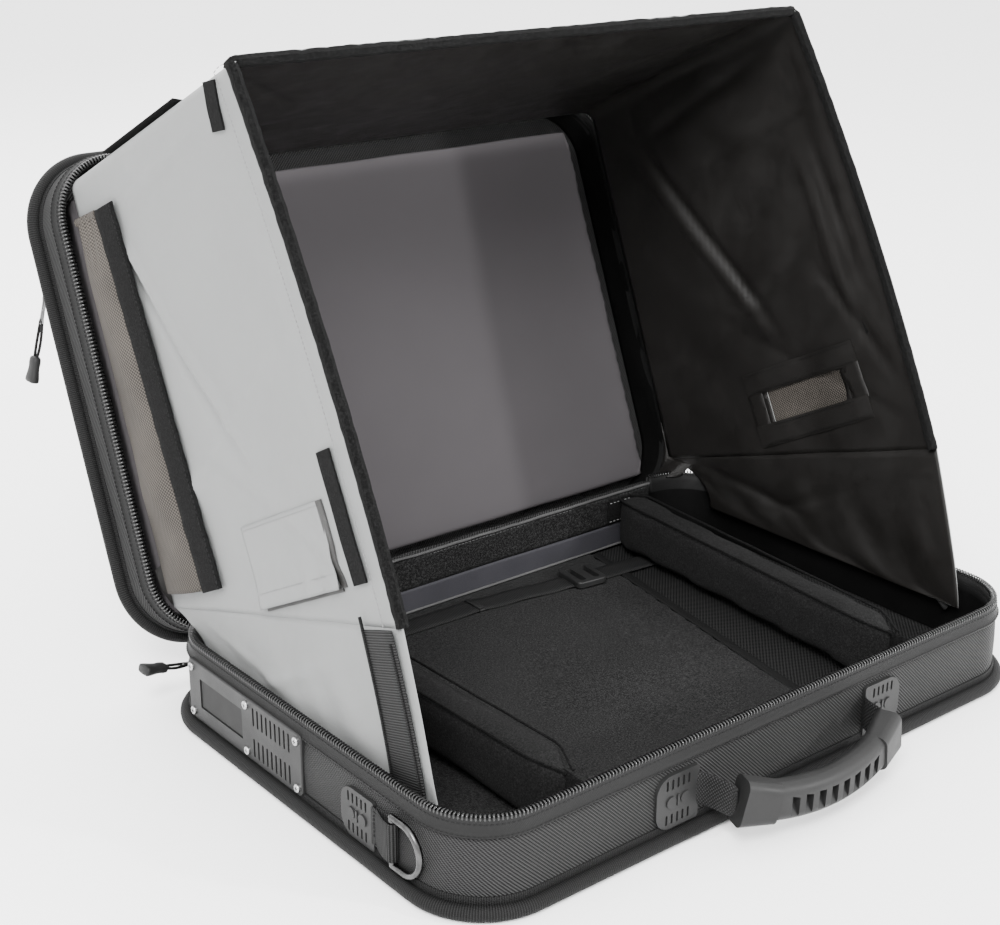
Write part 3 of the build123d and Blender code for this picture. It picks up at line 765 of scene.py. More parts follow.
def roll(name, loop, place, look):
    """The ribbed roll round the outer edge, with the lip that sews it to the wall."""
    wide, tall = ROLL_OUT / 2 + 0.4 * MM, 4.7 * MM

    def section(run):
        puff = 1 + 0.03 * wave_noise(run * 22, 3.1)
        rows = []
        for k in range(18):
            turn = 2 * math.pi * k / 18
            out = math.cos(turn)
            rows.append((ROLL_OUT - wide + wide * out * puff - 0.2 * MM, 5 * MM + tall * math.sin(turn) * puff))
        return rows

    def lip(run):
        # a flat of binding folded up against the wall, and stitched
        return [
            (0.4 * MM, 8.0 * MM),
            (2.3 * MM, 9.2 * MM),
            (2.1 * MM, 12.6 * MM),
            (1.7 * MM, 13.6 * MM),
            (0.2 * MM, 13.6 * MM),
        ]

    part = Mesh()
    for shape in (section, lip):
        points, cloth = band_round(loop, place, closed_section(shape))
        part.add(grid(points, cloth))
    obj = part.make(name, look, sharp=50)
    weld(obj)
    return obj


def teeth(name, loop, place, h, look="zip_coil_black", pitch=2.4 * MM, outer=-0.6 * MM, inner=-4.2 * MM):
    """Half a zip coil: one bent wire to a tooth, side by side round the outline."""
    part = Mesh()
    line = [(x, y, nx, ny) for x, y, nx, ny, _ in loop]
    path = [Vector((x, y, 0)) for x, y, _, _ in line]
    along = runs(path)
    count = int(along[-1] / pitch)
    i = 0
    for k in range(count):
        at = (k + 0.5) * pitch
        while i < len(along) - 2 and along[i + 1] < at:
            i += 1
        t = (at - along[i]) / max(along[i + 1] - along[i], 1e-9)
        x, y, nx, ny = [line[i][q] + (line[i + 1][q] - line[i][q]) * t for q in range(4)]
        arch = [(outer, h - 3.0 * MM), (outer + 0.1 * MM, h - 1.2 * MM), (outer - 0.9 * MM, h - 0.5 * MM)]
        arch += [((outer + inner) / 2 - 0.3 * MM, h - 0.55 * MM), (inner + 0.4 * MM, h - 0.9 * MM)]
        arch += [(inner, h - 1.6 * MM), (inner + 0.2 * MM, h - 3.0 * MM)]
        wire = [place(x + nx * g, y + ny * g, z) for g, z in arch]
        part.add(tube(wire, 0.62 * MM, 6, start=at))
    return part.make(name, look, sharp=60)


def zip_tape(name, loop, place, wall_h, top_h, look="zip_tape_black"):
    """The outer tape from the wall's seam up to the teeth, folded over at its foot, and the inner one."""

    def outer(run):
        return [
            (1.7 * MM, wall_h),
            (1.9 * MM, wall_h + 1.0 * MM),
            (1.2 * MM, wall_h + 2.0 * MM),
            (0.6 * MM, wall_h + 3.6 * MM),
            (0.0, top_h - 3.4 * MM),
            (-0.5 * MM, top_h - 2.2 * MM),
            (-1.6 * MM, top_h - 1.9 * MM),
            (-1.4 * MM, wall_h + 4 * MM),
            (0.2 * MM, wall_h + 0.2 * MM),
        ]

    def inner(run):
        slack = 0.5 * MM * wave_noise(run * 30, 1.7)
        return [
            (-4.3 * MM, top_h - 2.0 * MM),
            (-5.0 * MM + slack, top_h - 7 * MM),
            (-5.4 * MM + slack, top_h - 14 * MM),
            (-4.6 * MM + slack, top_h - 14 * MM),
            (-4.2 * MM + slack, top_h - 7 * MM),
            (-3.4 * MM, top_h - 2.0 * MM),
        ]

    part = Mesh()
    for shape in (outer, inner):
        points, cloth = band_round(loop, place, closed_section(shape))
        part.add(grid(points, cloth))
        for end in (0, -1):
            cap = points[end][:-1]
            part.add((cap, [tuple(range(len(cap)))], cloth[end][:-1]))
    obj = part.make(name, look, sharp=50)
    weld(obj)
    return obj


def seam_rows(name, loop, place, rows, look="thread_black", pitch=3.0 * MM, length=2.1 * MM):
    """Stitching round the outline at the given (grow, height) pairs."""
    part = Mesh()
    for grow, h in rows:
        path = [place(x + nx * grow, y + ny * grow, h) for x, y, nx, ny, _ in loop]
        centre = place(0, 0, h)
        part.add(stitches(path, lambda p, c=centre: (p - c).normalized(), pitch, length, 0.33 * MM))
    return part.make(name, look, sharp=60)


def lining(name, loop, place, top, low_top, body, node):
    """The thin cloth inside the walls, a little slack."""

    def section(run):
        hinge = 1 - smooth_step(min(run, AROUND - run), HINGE_HALF - 6 * MM, HINGE_HALF + 8 * MM)
        high = top + (low_top - top) * hinge
        rows = []
        for k in range(9):
            t = k / 8
            slack = 0.9 * MM * math.sin(math.pi * t) * (0.6 + 1.6 * wave_noise(run * 18, t * 1.5, 5.0))
            rows.append((-4.4 * MM - max(slack, 0.0), 4.4 * MM + (high - 5 * MM) * t))
        return rows

    points, cloth = band_round(loop, place, section)
    points = [row[::-1] for row in points]
    cloth = [row[::-1] for row in cloth]
    obj = thin_sheet(name, points, cloth, 0.7 * MM, ["lining_black"])
    return attach(obj, body, "lining_black", node)


# ------------------------------------------------------------------ base
ROLL_SEAM = [(2.3 * MM, 11.6 * MM)]  # the stitches beside each bumper roll: out, and height


def build_base():
    rim = rim_only(BASE_LOOP)
    obj = walls("base_walls", BASE_LOOP, base_place, 50 * MM, 43.5 * MM, "nylon_black")
    attach(obj, "base", "nylon_black", "base_shell")
    obj = roll("base_roll", BASE_LOOP, base_place, "binding_black")
    attach(obj, "base", "binding_black", "base_bumper")
    attach(
        zip_tape("base_tape", rim, base_place, 49 * MM, RIM_Z), "base", "zip_tape_black", "base_zip_tape"
    )
    attach(teeth("base_teeth", rim, base_place, RIM_Z), "base", "zip_coil_black", "base_zip_coil")
    rows = [(1.9 * MM, 50.2 * MM), (0.3 * MM, RIM_Z - 5.0 * MM)]
    attach(seam_rows("base_rim_stitches", rim, base_place, rows), "base", "zip_tape_black")
    obj = seam_rows("base_roll_stitches", BASE_LOOP, base_place, ROLL_SEAM)
    attach(obj, "base", "binding_black")
    lining("base_inside", BASE_LOOP, base_place, 54 * MM, 43 * MM, "base", "base_lining")


def soft_copy(node, name, look, voxel, rounds, ripple=0.0):
    """A soft piece from a CAD node's own solid: remeshed, its edges eased and its faces made uneven."""
    source = frame["nodes"][node]
    mesh = source.data.copy()
    mesh.materials.clear()
    mesh.materials.append(LOOK[look])
    obj = bpy.data.objects.new(name, mesh)
    bpy.context.scene.collection.objects.link(obj)
    remesh = obj.modifiers.new("remesh", "REMESH")
    remesh.mode, remesh.voxel_size = "VOXEL", voxel
    relax = obj.modifiers.new("relax", "SMOOTH")
    relax.factor, relax.iterations = 0.5, rounds
    settle(obj)
    for v in obj.data.vertices:
        n = v.normal
        v.co += n * ripple * wave_noise(v.co.x * 16, v.co.y * 16, v.co.z * 16)
    for p in obj.data.polygons:
        p.use_smooth = True
        p.material_index = 0
    return obj


def build_floor():
    board = soft_copy("floor_board", "floor_pad", "board_felt", 3 * MM, 2, 0.6 * MM)
    attach(board, "base", "loop_black", "floor_board")
    net = soft_copy("mesh_pocket", "net_pocket", "mesh_black", 3 * MM, 3, 1.6 * MM)
    attach(net, "base", "mesh_black", "mesh_pocket")

    # the bound edge where the net meets the board
    rear, front = Vector((126 * MM, 145 * MM, 0)), Vector((73 * MM, -145 * MM, 0))
    path = [front.lerp(rear, k / 24) for k in range(25)]
    for k, p in enumerate(path):
        p.z = BOARD_Z + 0.2 * MM + 0.3 * MM * wave_noise(k * 0.4, 2.0)
    edge = Mesh().add(strap(path, Vector((1, 0, 0)), 7 * MM, 0.9 * MM))
    attach(edge.make("pocket_binding", "binding_black"), "base", "binding_black")

    # the strap across the floor, with its keeper
    corners = [(-128, 131), (-66, 129.6), (-6, 128), (40, 122.5), (86, 116), (150, 111)]
    line = [Vector((x * MM, y * MM, 0)) for x, y in corners]
    path = []
    for a, b in zip(line, line[1:]):
        path += [a.lerp(b, k / 10) for k in range(10)]
    path.append(line[-1])
    for k, p in enumerate(path):
        wave = 0.9 * MM * (0.5 + wave_noise(k * 0.23, 7.0)) * math.sin(math.pi * k / (len(path) - 1))
        p.z = BOARD_Z + 0.9 * MM + max(wave, 0.0)
    part = Mesh().add(strap(path, Vector((0, 1, 0)), 19 * MM, 1.4 * MM, crown=0.1 * MM))
    keeper = []
    for y, z in ((-9.6, 0.4), (-9.9, 1.8), (-8.6, 3.1), (0, 3.5), (8.6, 3.1), (9.9, 1.8), (9.6, 0.4)):
        keeper.append(Vector((-6 * MM, (128 + y) * MM, BOARD_Z + z * MM)))
    part.add(strap(keeper, Vector((1, 0, 0)), 5 * MM, 0.8 * MM))
    part.add(stitches([path[3] + Vector((0, y * MM, 0.9 * MM)) for y in (-8, 8)], Vector((0, 0, 1))))
    attach(part.make("floor_webbing", "webbing_black"), "base", "webbing_black", "floor_strap")


def wavy_panel(name, x_half, low, high, y_at, thick, look, ripple, body, slot, node):
    """A strip of cloth across the rear wall, from height low to high, facing the front."""
    points, cloth = [], []
    n, m = 90, 8
    for i in range(n + 1):
        x = x_half - 2 * x_half * i / n
        row, uv = [], []
        for j in range(m + 1):
            z = low + (high - low) * j / m
            out = ripple * (0.5 + wave_noise(x * 22, z * 30, y_at * 50))
            row.append(Vector((x, y_at - max(out, 0.0), z)))
            uv.append((x, z))
        points.append(row)
        cloth.append(uv)
    points = [row[::-1] for row in points]
    cloth = [row[::-1] for row in cloth]
    obj = thin_sheet(name, points, cloth, thick, [look])
    return attach(obj, body, slot, node)


def build_rear():
    """What lines the rear wall: the loop band, the grey strip under it and the piping on top."""
    band_low, band_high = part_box("rear_loop_band")
    strip_low, strip_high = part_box("rear_lining_strip")
    half = band_high.x
    for name, low, high, thick, look, ripple, slot, node in (
        ("loop_band", band_low, band_high, 1.2, "loop_black", 0.7, "loop_black", "rear_loop_band"),
        ("grey_strip", strip_low, strip_high, 1.0, "strip_grey", 1.0, "panel_grey", "rear_lining_strip"),
    ):
        wavy_panel(
            name, half, low.z, high.z, low.y, thick * MM, look, ripple * MM, "base", slot, node
        )
    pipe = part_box("rear_piping")
    y, z = (pipe[0].y + pipe[1].y) / 2, (pipe[0].z + pipe[1].z) / 2
    line = [
        Vector(
            (
                -half + 2 * half * k / 80,
                y + 0.4 * MM * wave_noise(k * 0.3),
                z + 0.8 * MM * wave_noise(k * 0.2, 4.0),
            )
        )
        for k in range(81)
    ]
    low_line = [Vector((p.x, strip_low.y - 0.6 * MM, BOARD_Z + 1.4 * MM)) for p in line]
    part = Mesh().add(tube(line, 1.1 * MM, 8)).add(tube(low_line, 1.0 * MM, 8))
    part.add(stitches([p + Vector((0, -0.3 * MM, -2.2 * MM)) for p in line], Vector((0, -1, 0))))
    attach(part.make("rear_pipings", "piping_grey"), "base", "piping_grey", "rear_piping")

    # the cloth hinge, from inside the rear wall over it to the lid's edge
    front_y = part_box("hinge_panel")[0].y
    profile = [
        (front_y + 0.4 * MM, 21 * MM),
        (front_y + 0.5 * MM, 32 * MM),
        (front_y + 0.3 * MM, 44 * MM),
        (front_y + 0.5 * MM, 52 * MM),
        (front_y + 1.2 * MM, 56.6 * MM),
        (front_y + 3.0 * MM, 58.2 * MM),
        (front_y + 5.4 * MM, 57.4 * MM),
        (front_y + 8.0 * MM, 54.6 * MM),
        (front_y + 10.4 * MM, 52.0 * MM),
    ]
    points, cloth = [], []
    n = 100
    for i in range(n + 1):
        x = HINGE_HALF - 2 * HINGE_HALF * i / n
        row, uv, run = [], [], 0.0
        for j, (y, z) in enumerate(profile):
            ripple = 0.6 * MM * wave_noise(x * 35, j * 0.5, 9.0)
            row.append(Vector((x, y + ripple, z + ripple)))
            run += math.dist(profile[j], profile[j - 1]) if j else 0.0
            uv.append((x, run))
        points.append(row)
        cloth.append(uv)
    obj = thin_sheet("cloth_hinge", points, cloth, 0.8 * MM, ["nylon_black"])
    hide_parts("hinge_panel")
    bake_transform(obj)


# ------------------------------------------------------------------ lid
def build_lid():
    top = LID_DEPTH - 0.3 * MM  # the lid's zip stops just short of the base's
    obj = walls("lid_walls", LID_LOOP, lid_place, 29 * MM, 29 * MM, "nylon_black")
    attach(obj, "lid", "nylon_black", "lid_shell")
    obj = roll("lid_roll", LID_LOOP, lid_place, "binding_black")
    attach(obj, "lid", "binding_black", "lid_bumper")
    obj = zip_tape("lid_tape", LID_LOOP, lid_place, 28 * MM, top)
    attach(obj, "lid", "zip_tape_black", "lid_zip_tape")
    attach(teeth("lid_teeth", LID_LOOP, lid_place, top), "lid", "zip_coil_black", "lid_zip_coil")
    rows = [(1.9 * MM, 29.2 * MM), (0.3 * MM, top - 5.0 * MM)]
    attach(seam_rows("lid_rim_stitches", LID_LOOP, lid_place, rows), "lid", "zip_tape_black")
    obj = seam_rows("lid_roll_stitches", LID_LOOP, lid_place, ROLL_SEAM)
    attach(obj, "lid", "binding_black")
    lining("lid_inside", LID_LOOP, lid_place, 33 * MM, 33 * MM, "lid", "lid_lining")

    panel = soft_copy("lid_inner_panel", "lid_pad", "panel_grey", 3 * MM, 1, 0.8 * MM)
    attach(panel, "lid", "panel_grey", "lid_inner_panel")

    # the pocket on the back: a padded panel inside its own zip
    def pad_section(run):
        rows = []
        for grow, h in ((-13, 0.6), (-13.4, -1.0), (-14.6, -2.0), (-17, -2.5), (-24, -2.7), (-44, -2.9)):
            rows.append((grow * MM, h * MM + 0.25 * MM * wave_noise(run * 16, grow * 0.05)))
        return rows

    points, cloth = band_round(LID_LOOP, lid_place, pad_section)
    part = Mesh().add(grid(points, cloth))
    cols, n = len(points[0]), len(points) - 1
    rings = [[i * cols + cols - 1 for i in range(n)]]
    for inset in (0.35, 0.7):
        ring = []
        for i in rings[0]:
            x, y = lid_plan(part.points[i])
            px, py = x * (1 - inset), y * (1 - inset)
            ring.append(len(part.points))
            h = -2.9 * MM - 0.3 * MM * wave_noise(px * 9, py * 9, 2.0)
            part.points.append(tuple(lid_place(px, py, h)))
            part.cloth.append((px, py))
        rings.append(ring)
    for a, b in zip(rings, rings[1:]):
        part.faces += [(a[k], a[(k + 1) % n], b[(k + 1) % n], b[k]) for k in range(n)]
        part.slots += [0] * n
    middle = len(part.points)
    part.points.append(tuple(lid_place(0, 0, -3.1 * MM)))
    part.cloth.append((0, 0))
    last = rings[-1]
    part.faces += [(middle, last[k], last[(k + 1) % n]) for k in range(n)]
    part.slots += [0] * n
    first = [i * cols for i in range(n)]
    part.faces.append(tuple(first[::-1]))
    part.slots.append(0)
    obj = part.make("back_pocket", "nylon_black", sharp=60)
    weld(obj)
    flat_cloth(obj, lid_place)
    attach(obj, "lid", "nylon_black", "lid_pocket_panel")

    low_v = 60 * MM
    loop = [p for p in LID_LOOP if p[1] + CASE_D / 2 > low_v]
    loop.sort(key=lambda p: p[4])
    section = [(-6.6, 0.4), (-6.6, -0.7), (-9.6, -0.9), (-12.8, -0.9), (-13.4, 0.2), (-10, 0.4)]
    section = [(g * MM, h * MM) for g, h in section]
    points, cloth = band_round(loop, lid_place, closed_section(lambda run: section))
    part = Mesh().add(grid(points, cloth))
    obj = part.make("pocket_tape", "zip_tape_black", sharp=50)
    attach(obj, "lid", "zip_tape_black")
    row = Mesh()
    path = [lid_place(x - nx * 9.8 * MM, y - ny * 9.8 * MM, -1.2 * MM) for x, y, nx, ny, _ in loop]
    along = runs(path)
    wide = [Vector(lid_place(nx, ny, 0)) - Vector(lid_place(0, 0, 0)) for _, _, nx, ny, _ in loop]
    pitch, i = 1.6 * MM, 0
    for k in range(int(along[-1] / pitch)):
        at = (k + 0.5) * pitch
        while i < len(along) - 2 and along[i + 1] < at:
            i += 1
        t = (at - along[i]) / max(along[i + 1] - along[i], 1e-9)
        centre, side = path[i].lerp(path[i + 1], t), wide[i].normalized()
        out = -LID_OUT
        bent = [(-2.0, 0.3), (-1.5, -0.5), (0, -0.75), (1.5, -0.5), (2.0, 0.3)]
        wire = [centre + side * (a * MM) + out * (-b * MM) for a, b in bent]
        row.add(tube(wire, 0.5 * MM, 5, start=at))
    attach(row.make("pocket_teeth", "zip_coil_black", sharp=60), "lid", "zip_coil_black", "pocket_zip")


def lid_plan(point):
    """A lid point's place in the lid's plan."""
    p = Vector(point) - lid_place(0, 0, 0)
    return p.x, p.dot(LID_UP)


# ------------------------------------------------------------------ gussets and hook strips
GUSSET_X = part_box("lid_gusset_right")[0].x


def build_gussets():
    low_v, top_v = 32 * MM, 277 * MM
    hooks = Mesh()

    def reach(v):
        """How far the gusset stands out of the lid at v."""
        return (56 - 21 * (v - low_v) / (top_v - low_v)) * MM

    for side, sx in SIDES:
        points, cloth = [], []
        n, m = 78, 20
        for i in range(n + 1):
            v = low_v + (top_v - low_v) * i / n
            row, uv = [], []
            gather = smooth_step(v, top_v - 45 * MM, top_v)
            for j in range(m + 1):
                t = j / m
                w = 2.4 * MM + (reach(v) - 2.4 * MM) * t
                hold = math.sin(math.pi * t) ** 0.7
                out = 5.5 * MM * hold * (1 - 0.55 * gather)
                out += 2.6 * MM * hold * wave_noise(v * 26, w * 30, sx * 2.0)
                out += 1.3 * MM * gather * hold * math.sin(w * 900)
                row.append(on_lid(sx * (GUSSET_X + 0.6 * MM + max(out, 0.0)), v, w))
                uv.append((v, w))
            points.append(row)
            cloth.append(uv)
        if sx < 0:
            points, cloth = points[::-1], cloth[::-1]
        obj = thin_sheet(f"side_gusset_{side}", points, cloth, 0.9 * MM, ["gusset_taupe"])
        attach_folding(obj, "lid", "gusset_taupe", f"lid_gusset_{side}")

        # a hem at its upper end, piping along its front edge, then the hook tape
        hem_x, hem_v = sx * (GUSSET_X + 2.0 * MM), top_v - 2 * MM
        hem = [on_lid(hem_x, hem_v, (4 + 30 * k / 14) * MM) for k in range(15)]
        hooks.add(strap(hem, LID_UP.copy(), 5 * MM, 1.6 * MM, crown=0.5 * MM), 3)
        pipe, run = [], []
        for k in range(61):
            v = low_v + (top_v - low_v) * k / 60
            wave = 1.1 * MM * wave_noise(k * 0.25, sx * 3.0)
            pipe.append(on_lid(sx * (GUSSET_X + 1.6 * MM), v, reach(v) + 0.6 * MM))
            run.append(on_lid(sx * (GUSSET_X + 1.6 * MM + abs(wave)), v, reach(v) + 12.2 * MM))
        hooks.add(tube(pipe, 0.6 * MM, 6), 1)
        across = (LID_OUT - Vector((sx * 0.1, 0, 0))).normalized()
        hooks.add(strap(run, across, 23 * MM, 1.3 * MM, crown=0.2 * MM), 0)
        for off in (-10.2, 10.2):
            line = [p + LID_OUT * (off * MM) + Vector((sx * 0.9 * MM, 0, 0)) for p in run]
            hooks.add(stitches(line, Vector((sx, 0, 0)), 3.4 * MM, 2.4 * MM, 0.32 * MM), 2)
        # the black web that closes the corner between the hood, the lid and the base
        free = [on_lid(sx * 222 * MM, v * MM, 1 * MM) for v in (52, 42, 32, 24)]
        skirt_side = ((221.4, 158, 67), (221.4, 149, 68), (221.4, 141, 67))
        free += [Vector((sx * x * MM, y * MM, z * MM)) for x, y, z in skirt_side]
        lid_side = ((228, 48), (227, 35), (222, 24), (214, 14), (206, 9))
        fixed = [on_lid(sx * u * MM, v * MM, -4 * MM) for u, v in lid_side]
        base_side = ((205, 151, 57.6), (214, 145.5, 58.4))
        fixed += [Vector((sx * x * MM, y * MM, z * MM)) for x, y, z in base_side]
        points = [[a.lerp(b, j / 8) for j in range(9)] for a, b in zip(free, fixed)]
        cloth = [[(k * 9 * MM, j * 2 * MM) for j in range(9)] for k in range(len(points))]
        if sx < 0:
            points, cloth = points[::-1], cloth[::-1]
        web = thin_sheet(f"corner_web_{side}", points, cloth, 0.8 * MM, ["satin_black"])
        attach_folding(web, "lid", "satin_black")
    obj = hooks.make("hook_tapes", "hook_black", "piping_grey", "thread_black", "gusset_taupe")
    attach_folding(obj, "lid", "hook_black", "gusset_hooks")


def attach_folding(obj, body, slot, *nodes):
    """A soft piece in front of the lid: puts it on its body, hides its CAD nodes and gives it its own copy of
    its mesh.
    """
    attach(obj, body, slot, *nodes)
    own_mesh(obj)
    return obj


# ------------------------------------------------------------------ hood
TOP_REAR = Vector(lid_yz(304 * MM, 1 * MM))
FOLD_REAR = Vector(lid_yz(22 * MM, 1 * MM))
TOP_FRONT = Vector((62.6 * MM, 424.6 * MM))
EDGE_MID = Vector((-20 * MM, 284 * MM))
FOLD_FRONT = Vector((-87.2 * MM, 146 * MM))
CORNER = 9 * MM  # the sides turn into the top over this


def edge_hold(t):
    """How free the cloth is between the lid at 0 and the front edge at 1."""
    return smooth_step(t, 0.0, 0.32) * (1 - smooth_step(t, 0.86, 0.98))


def front_edge(v):
    """(y, z) along the bowed front edge, from the fold at 0 to the top at 1."""
    return quadratic(FOLD_FRONT, EDGE_MID, TOP_FRONT, v)


def quadratic(a, mid, b, t):
    """A curve from a to b that passes through mid half way."""
    pull = mid * 2 - (a + b) / 2
    return a * (1 - t) ** 2 + pull * (2 * t * (1 - t)) + b * t * t


def side_at(v, t):
    """(y, z) of the side panel: v from the fold to the top, t from the lid to the front edge."""
    return FOLD_REAR.lerp(TOP_REAR, v).lerp(front_edge(v), t)


def ridge(p, a, b, wide, tall):
    """A soft crease along the line from a to b, which fades towards its ends."""
    a, b = Vector(a) * MM, Vector(b) * MM
    run = b - a
    t = (p - a).dot(run) / run.length_squared
    if not -0.1 < t < 1.1:
        return 0.0
    off = (p - a).cross(run) / run.length if hasattr(p, "cross") else 0.0
    fade = smooth_step(t, -0.1, 0.2) * (1 - smooth_step(t, 0.75, 1.1))
    return tall * MM * fade * math.exp(-((off / (wide * MM)) ** 2))


def side_relief(sx, y, z):
    """How far the cloth of a side panel stands out of its plane: creases, tension and slack."""
    p = Vector((y, z))
    out = 3.0 * MM * wave_noise(y * 9, z * 9, sx * 5.0)
    out += 1.0 * MM * wave_noise(y * 26, z * 26, sx * 9.0)
    if sx > 0:  # this side hangs slacker
        out += 1.6 * MM * wave_noise(y * 14 + z * 9, z * 22 - y * 8, 3.0)
        out += ridge(p, (40, 330), (-30, 225), 4.0, 2.0) - ridge(p, (55, 322), (-12, 215), 3.5, 1.6)
        out += ridge(p, (150, 300), (20, 380), 4.5, 1.8) + ridge(p, (30, 250), (-60, 180), 4.5, 2.0)
    # two creases from the upper rear down and forwards, where the hood folds
    out += ridge(p, (215, 312), (62, 196), 3.4, 3.2)
    out -= ridge(p, (221, 303), (66, 187), 3.0, 2.2)
    out += ridge(p, (200, 318), (84, 395), 5.0, 2.0)
    out += ridge(p, (170, 110), (40, 262), 6.0, 1.8)
    out -= ridge(p, (60, 400), (-30, 220), 6.0, 1.5)
    out += ridge(p, (-60, 160), (120, 190), 5.0, 1.3)
    return min(out, 4.5 * MM)


def top_relief(x, f, wide):
    """The same for the top: a shallow sag, and folds that run in from its corners."""
    t = f / wide
    out = -3.2 * MM * math.sin(math.pi * t) * (1 - abs(x / HOOD_X) ** 3)
    out += 1.8 * MM * wave_noise(x * 10, f * 12, 3.0) + 0.6 * MM * wave_noise(x * 34, f * 30, 8.0)
    p = Vector((x, f))
    for sx in (-1, 1):
        out += ridge(p, (sx * 214, 205), (sx * 120, 120), 5.0, 1.3)
        out += ridge(p, (sx * 214, 20), (sx * 110, 90), 6.0, 1.2)
    # light gathers into the binding
    out += 0.7 * MM * smooth_step(t, 0.8, 1.0) * math.sin(x * 190 + 2 * math.sin(x * 31))
    return out


def top_normal():
    """The way out of the hood's top."""
    run = TOP_FRONT - TOP_REAR
    return Vector((0, run.x, run.y)).cross(Vector((1, 0, 0))).normalized()


def hood_rows():
    """The hood's cloth as rows from the left fold over the top to the right fold."""
    across = 66
    n_side, n_arc, n_top = 82, 5, 130
    rows, cloth = [], []

    columns = []
    for j in range(across + 1):
        t = j / across
        top = side_at(1, t)
        deep = (TOP_REAR - TOP_FRONT).length
        cell = []
        length = sum((side_at((k + 1) / 8, t) - side_at(k / 8, t)).length for k in range(8))
        cut = CORNER / length
        for sx in (-1, 1):
            line = []
            for k in range(n_side + 1):
                v = (1 - cut) * k / n_side
                p = side_at(v, t)
                hold = edge_hold(t) * (1 - smooth_step(v, 0.9, 1.0) * 0.7)
                d = side_relief(sx, p.x, p.y) * hold
                line.append((Vector((sx * (HOOD_X + d), p.x, p.y)), length * v))
            root = side_at(1 - cut, t)
            for k in range(1, n_arc):
                turn = math.pi / 2 * k / n_arc
                inward = CORNER * (1 - math.cos(turn))
                q = root + (top - root) * math.sin(turn)
                run = length * (1 - cut) + CORNER * turn
                line.append((Vector((sx * (HOOD_X - inward), q.x, q.y)), run))
            cell.append(line)
        line = []
        half = HOOD_X - CORNER
        normal = top_normal()
        for k in range(n_top + 1):
            x = -half + 2 * half * k / n_top
            fade = 1 - smooth_step(abs(x), half - 12 * MM, half)
            d = top_relief(x, deep * t, deep) * edge_hold(t) * fade
            line.append((Vector((x, top.x, top.y)) + normal * (d + 0.6 * MM), length + x + half))
        whole = cell[0] + line + [(p, 2 * length + 2 * half - q) for p, q in cell[1][::-1]]
        columns.append([(p, q, deep * t) for p, q in whole])
    for i in range(len(columns[0])):
        rows.append([columns[j][i][0] for j in range(across + 1)])
        cloth.append([(columns[j][i][1], columns[j][i][2]) for j in range(across + 1)])
    return [row[::-1] for row in rows], [row[::-1] for row in cloth]


PORT = Vector((29.5 * MM, 153.5 * MM))
PORT_TURN = math.radians(-27.4)
PORT_W, PORT_H = 74 * MM, 23 * MM


def port_axes():
    along = Vector((math.cos(PORT_TURN), math.sin(PORT_TURN)))
    return along, Vector((-along.y, along.x))


def cut_ports(obj):
    """Opens the cable ports in the sides: drops the faces inside them and draws the rim to their edge."""
    along, up = port_axes()
    work = bmesh.new()
    work.from_mesh(obj.data)

    def local(co):
        p = Vector((co.y, co.z)) - PORT
        return p.dot(along), p.dot(up)

    def inside(face):
        if any(abs(v.co.x) < HOOD_X - 8 * MM for v in face.verts):
            return False
        a, b = local(face.calc_center_median())
        return abs(a) < PORT_W / 2 and abs(b) < PORT_H / 2

    bmesh.ops.delete(work, geom=[f for f in work.faces if inside(f)], context="FACES")
    for v in work.verts:
        if v.is_boundary and abs(v.co.x) > HOOD_X - 8 * MM:
            a, b = local(v.co)
            if abs(a) < PORT_W / 2 + 6 * MM and abs(b) < PORT_H / 2 + 6 * MM:
                if abs(a) - PORT_W / 2 > abs(b) - PORT_H / 2:
                    a = math.copysign(PORT_W / 2, a)
                    b = max(-PORT_H / 2, min(PORT_H / 2, b))
                else:
                    b = math.copysign(PORT_H / 2, b)
                    a = max(-PORT_W / 2, min(PORT_W / 2, a))
                p = PORT + along * a + up * b
                v.co.y, v.co.z = p.x, p.y
    work.to_mesh(obj.data)
    work.free()


def on_side(sx, y, z, off):
    """A point off outside the side panel's cloth."""
    return Vector((sx * min(HOOD_X + side_relief(sx, y, z) + off, 229 * MM), y, z))


def on_top(x, f, off):
    run = TOP_FRONT - TOP_REAR
    deep = run.length
    p = TOP_REAR + run * (f / deep)
    normal = top_normal()
    half = HOOD_X - CORNER
    hold = edge_hold(f / deep) * (1 - smooth_step(abs(x), half - 12 * MM, half))
    drop = CORNER * (1 - math.sqrt(max(0.0, 1 - (max(abs(x) - half, 0.0) / CORNER) ** 2)))
    return Vector((x, p.x, p.y)) + normal * (top_relief(x, f, deep) * hold + 0.6 * MM + off - drop)


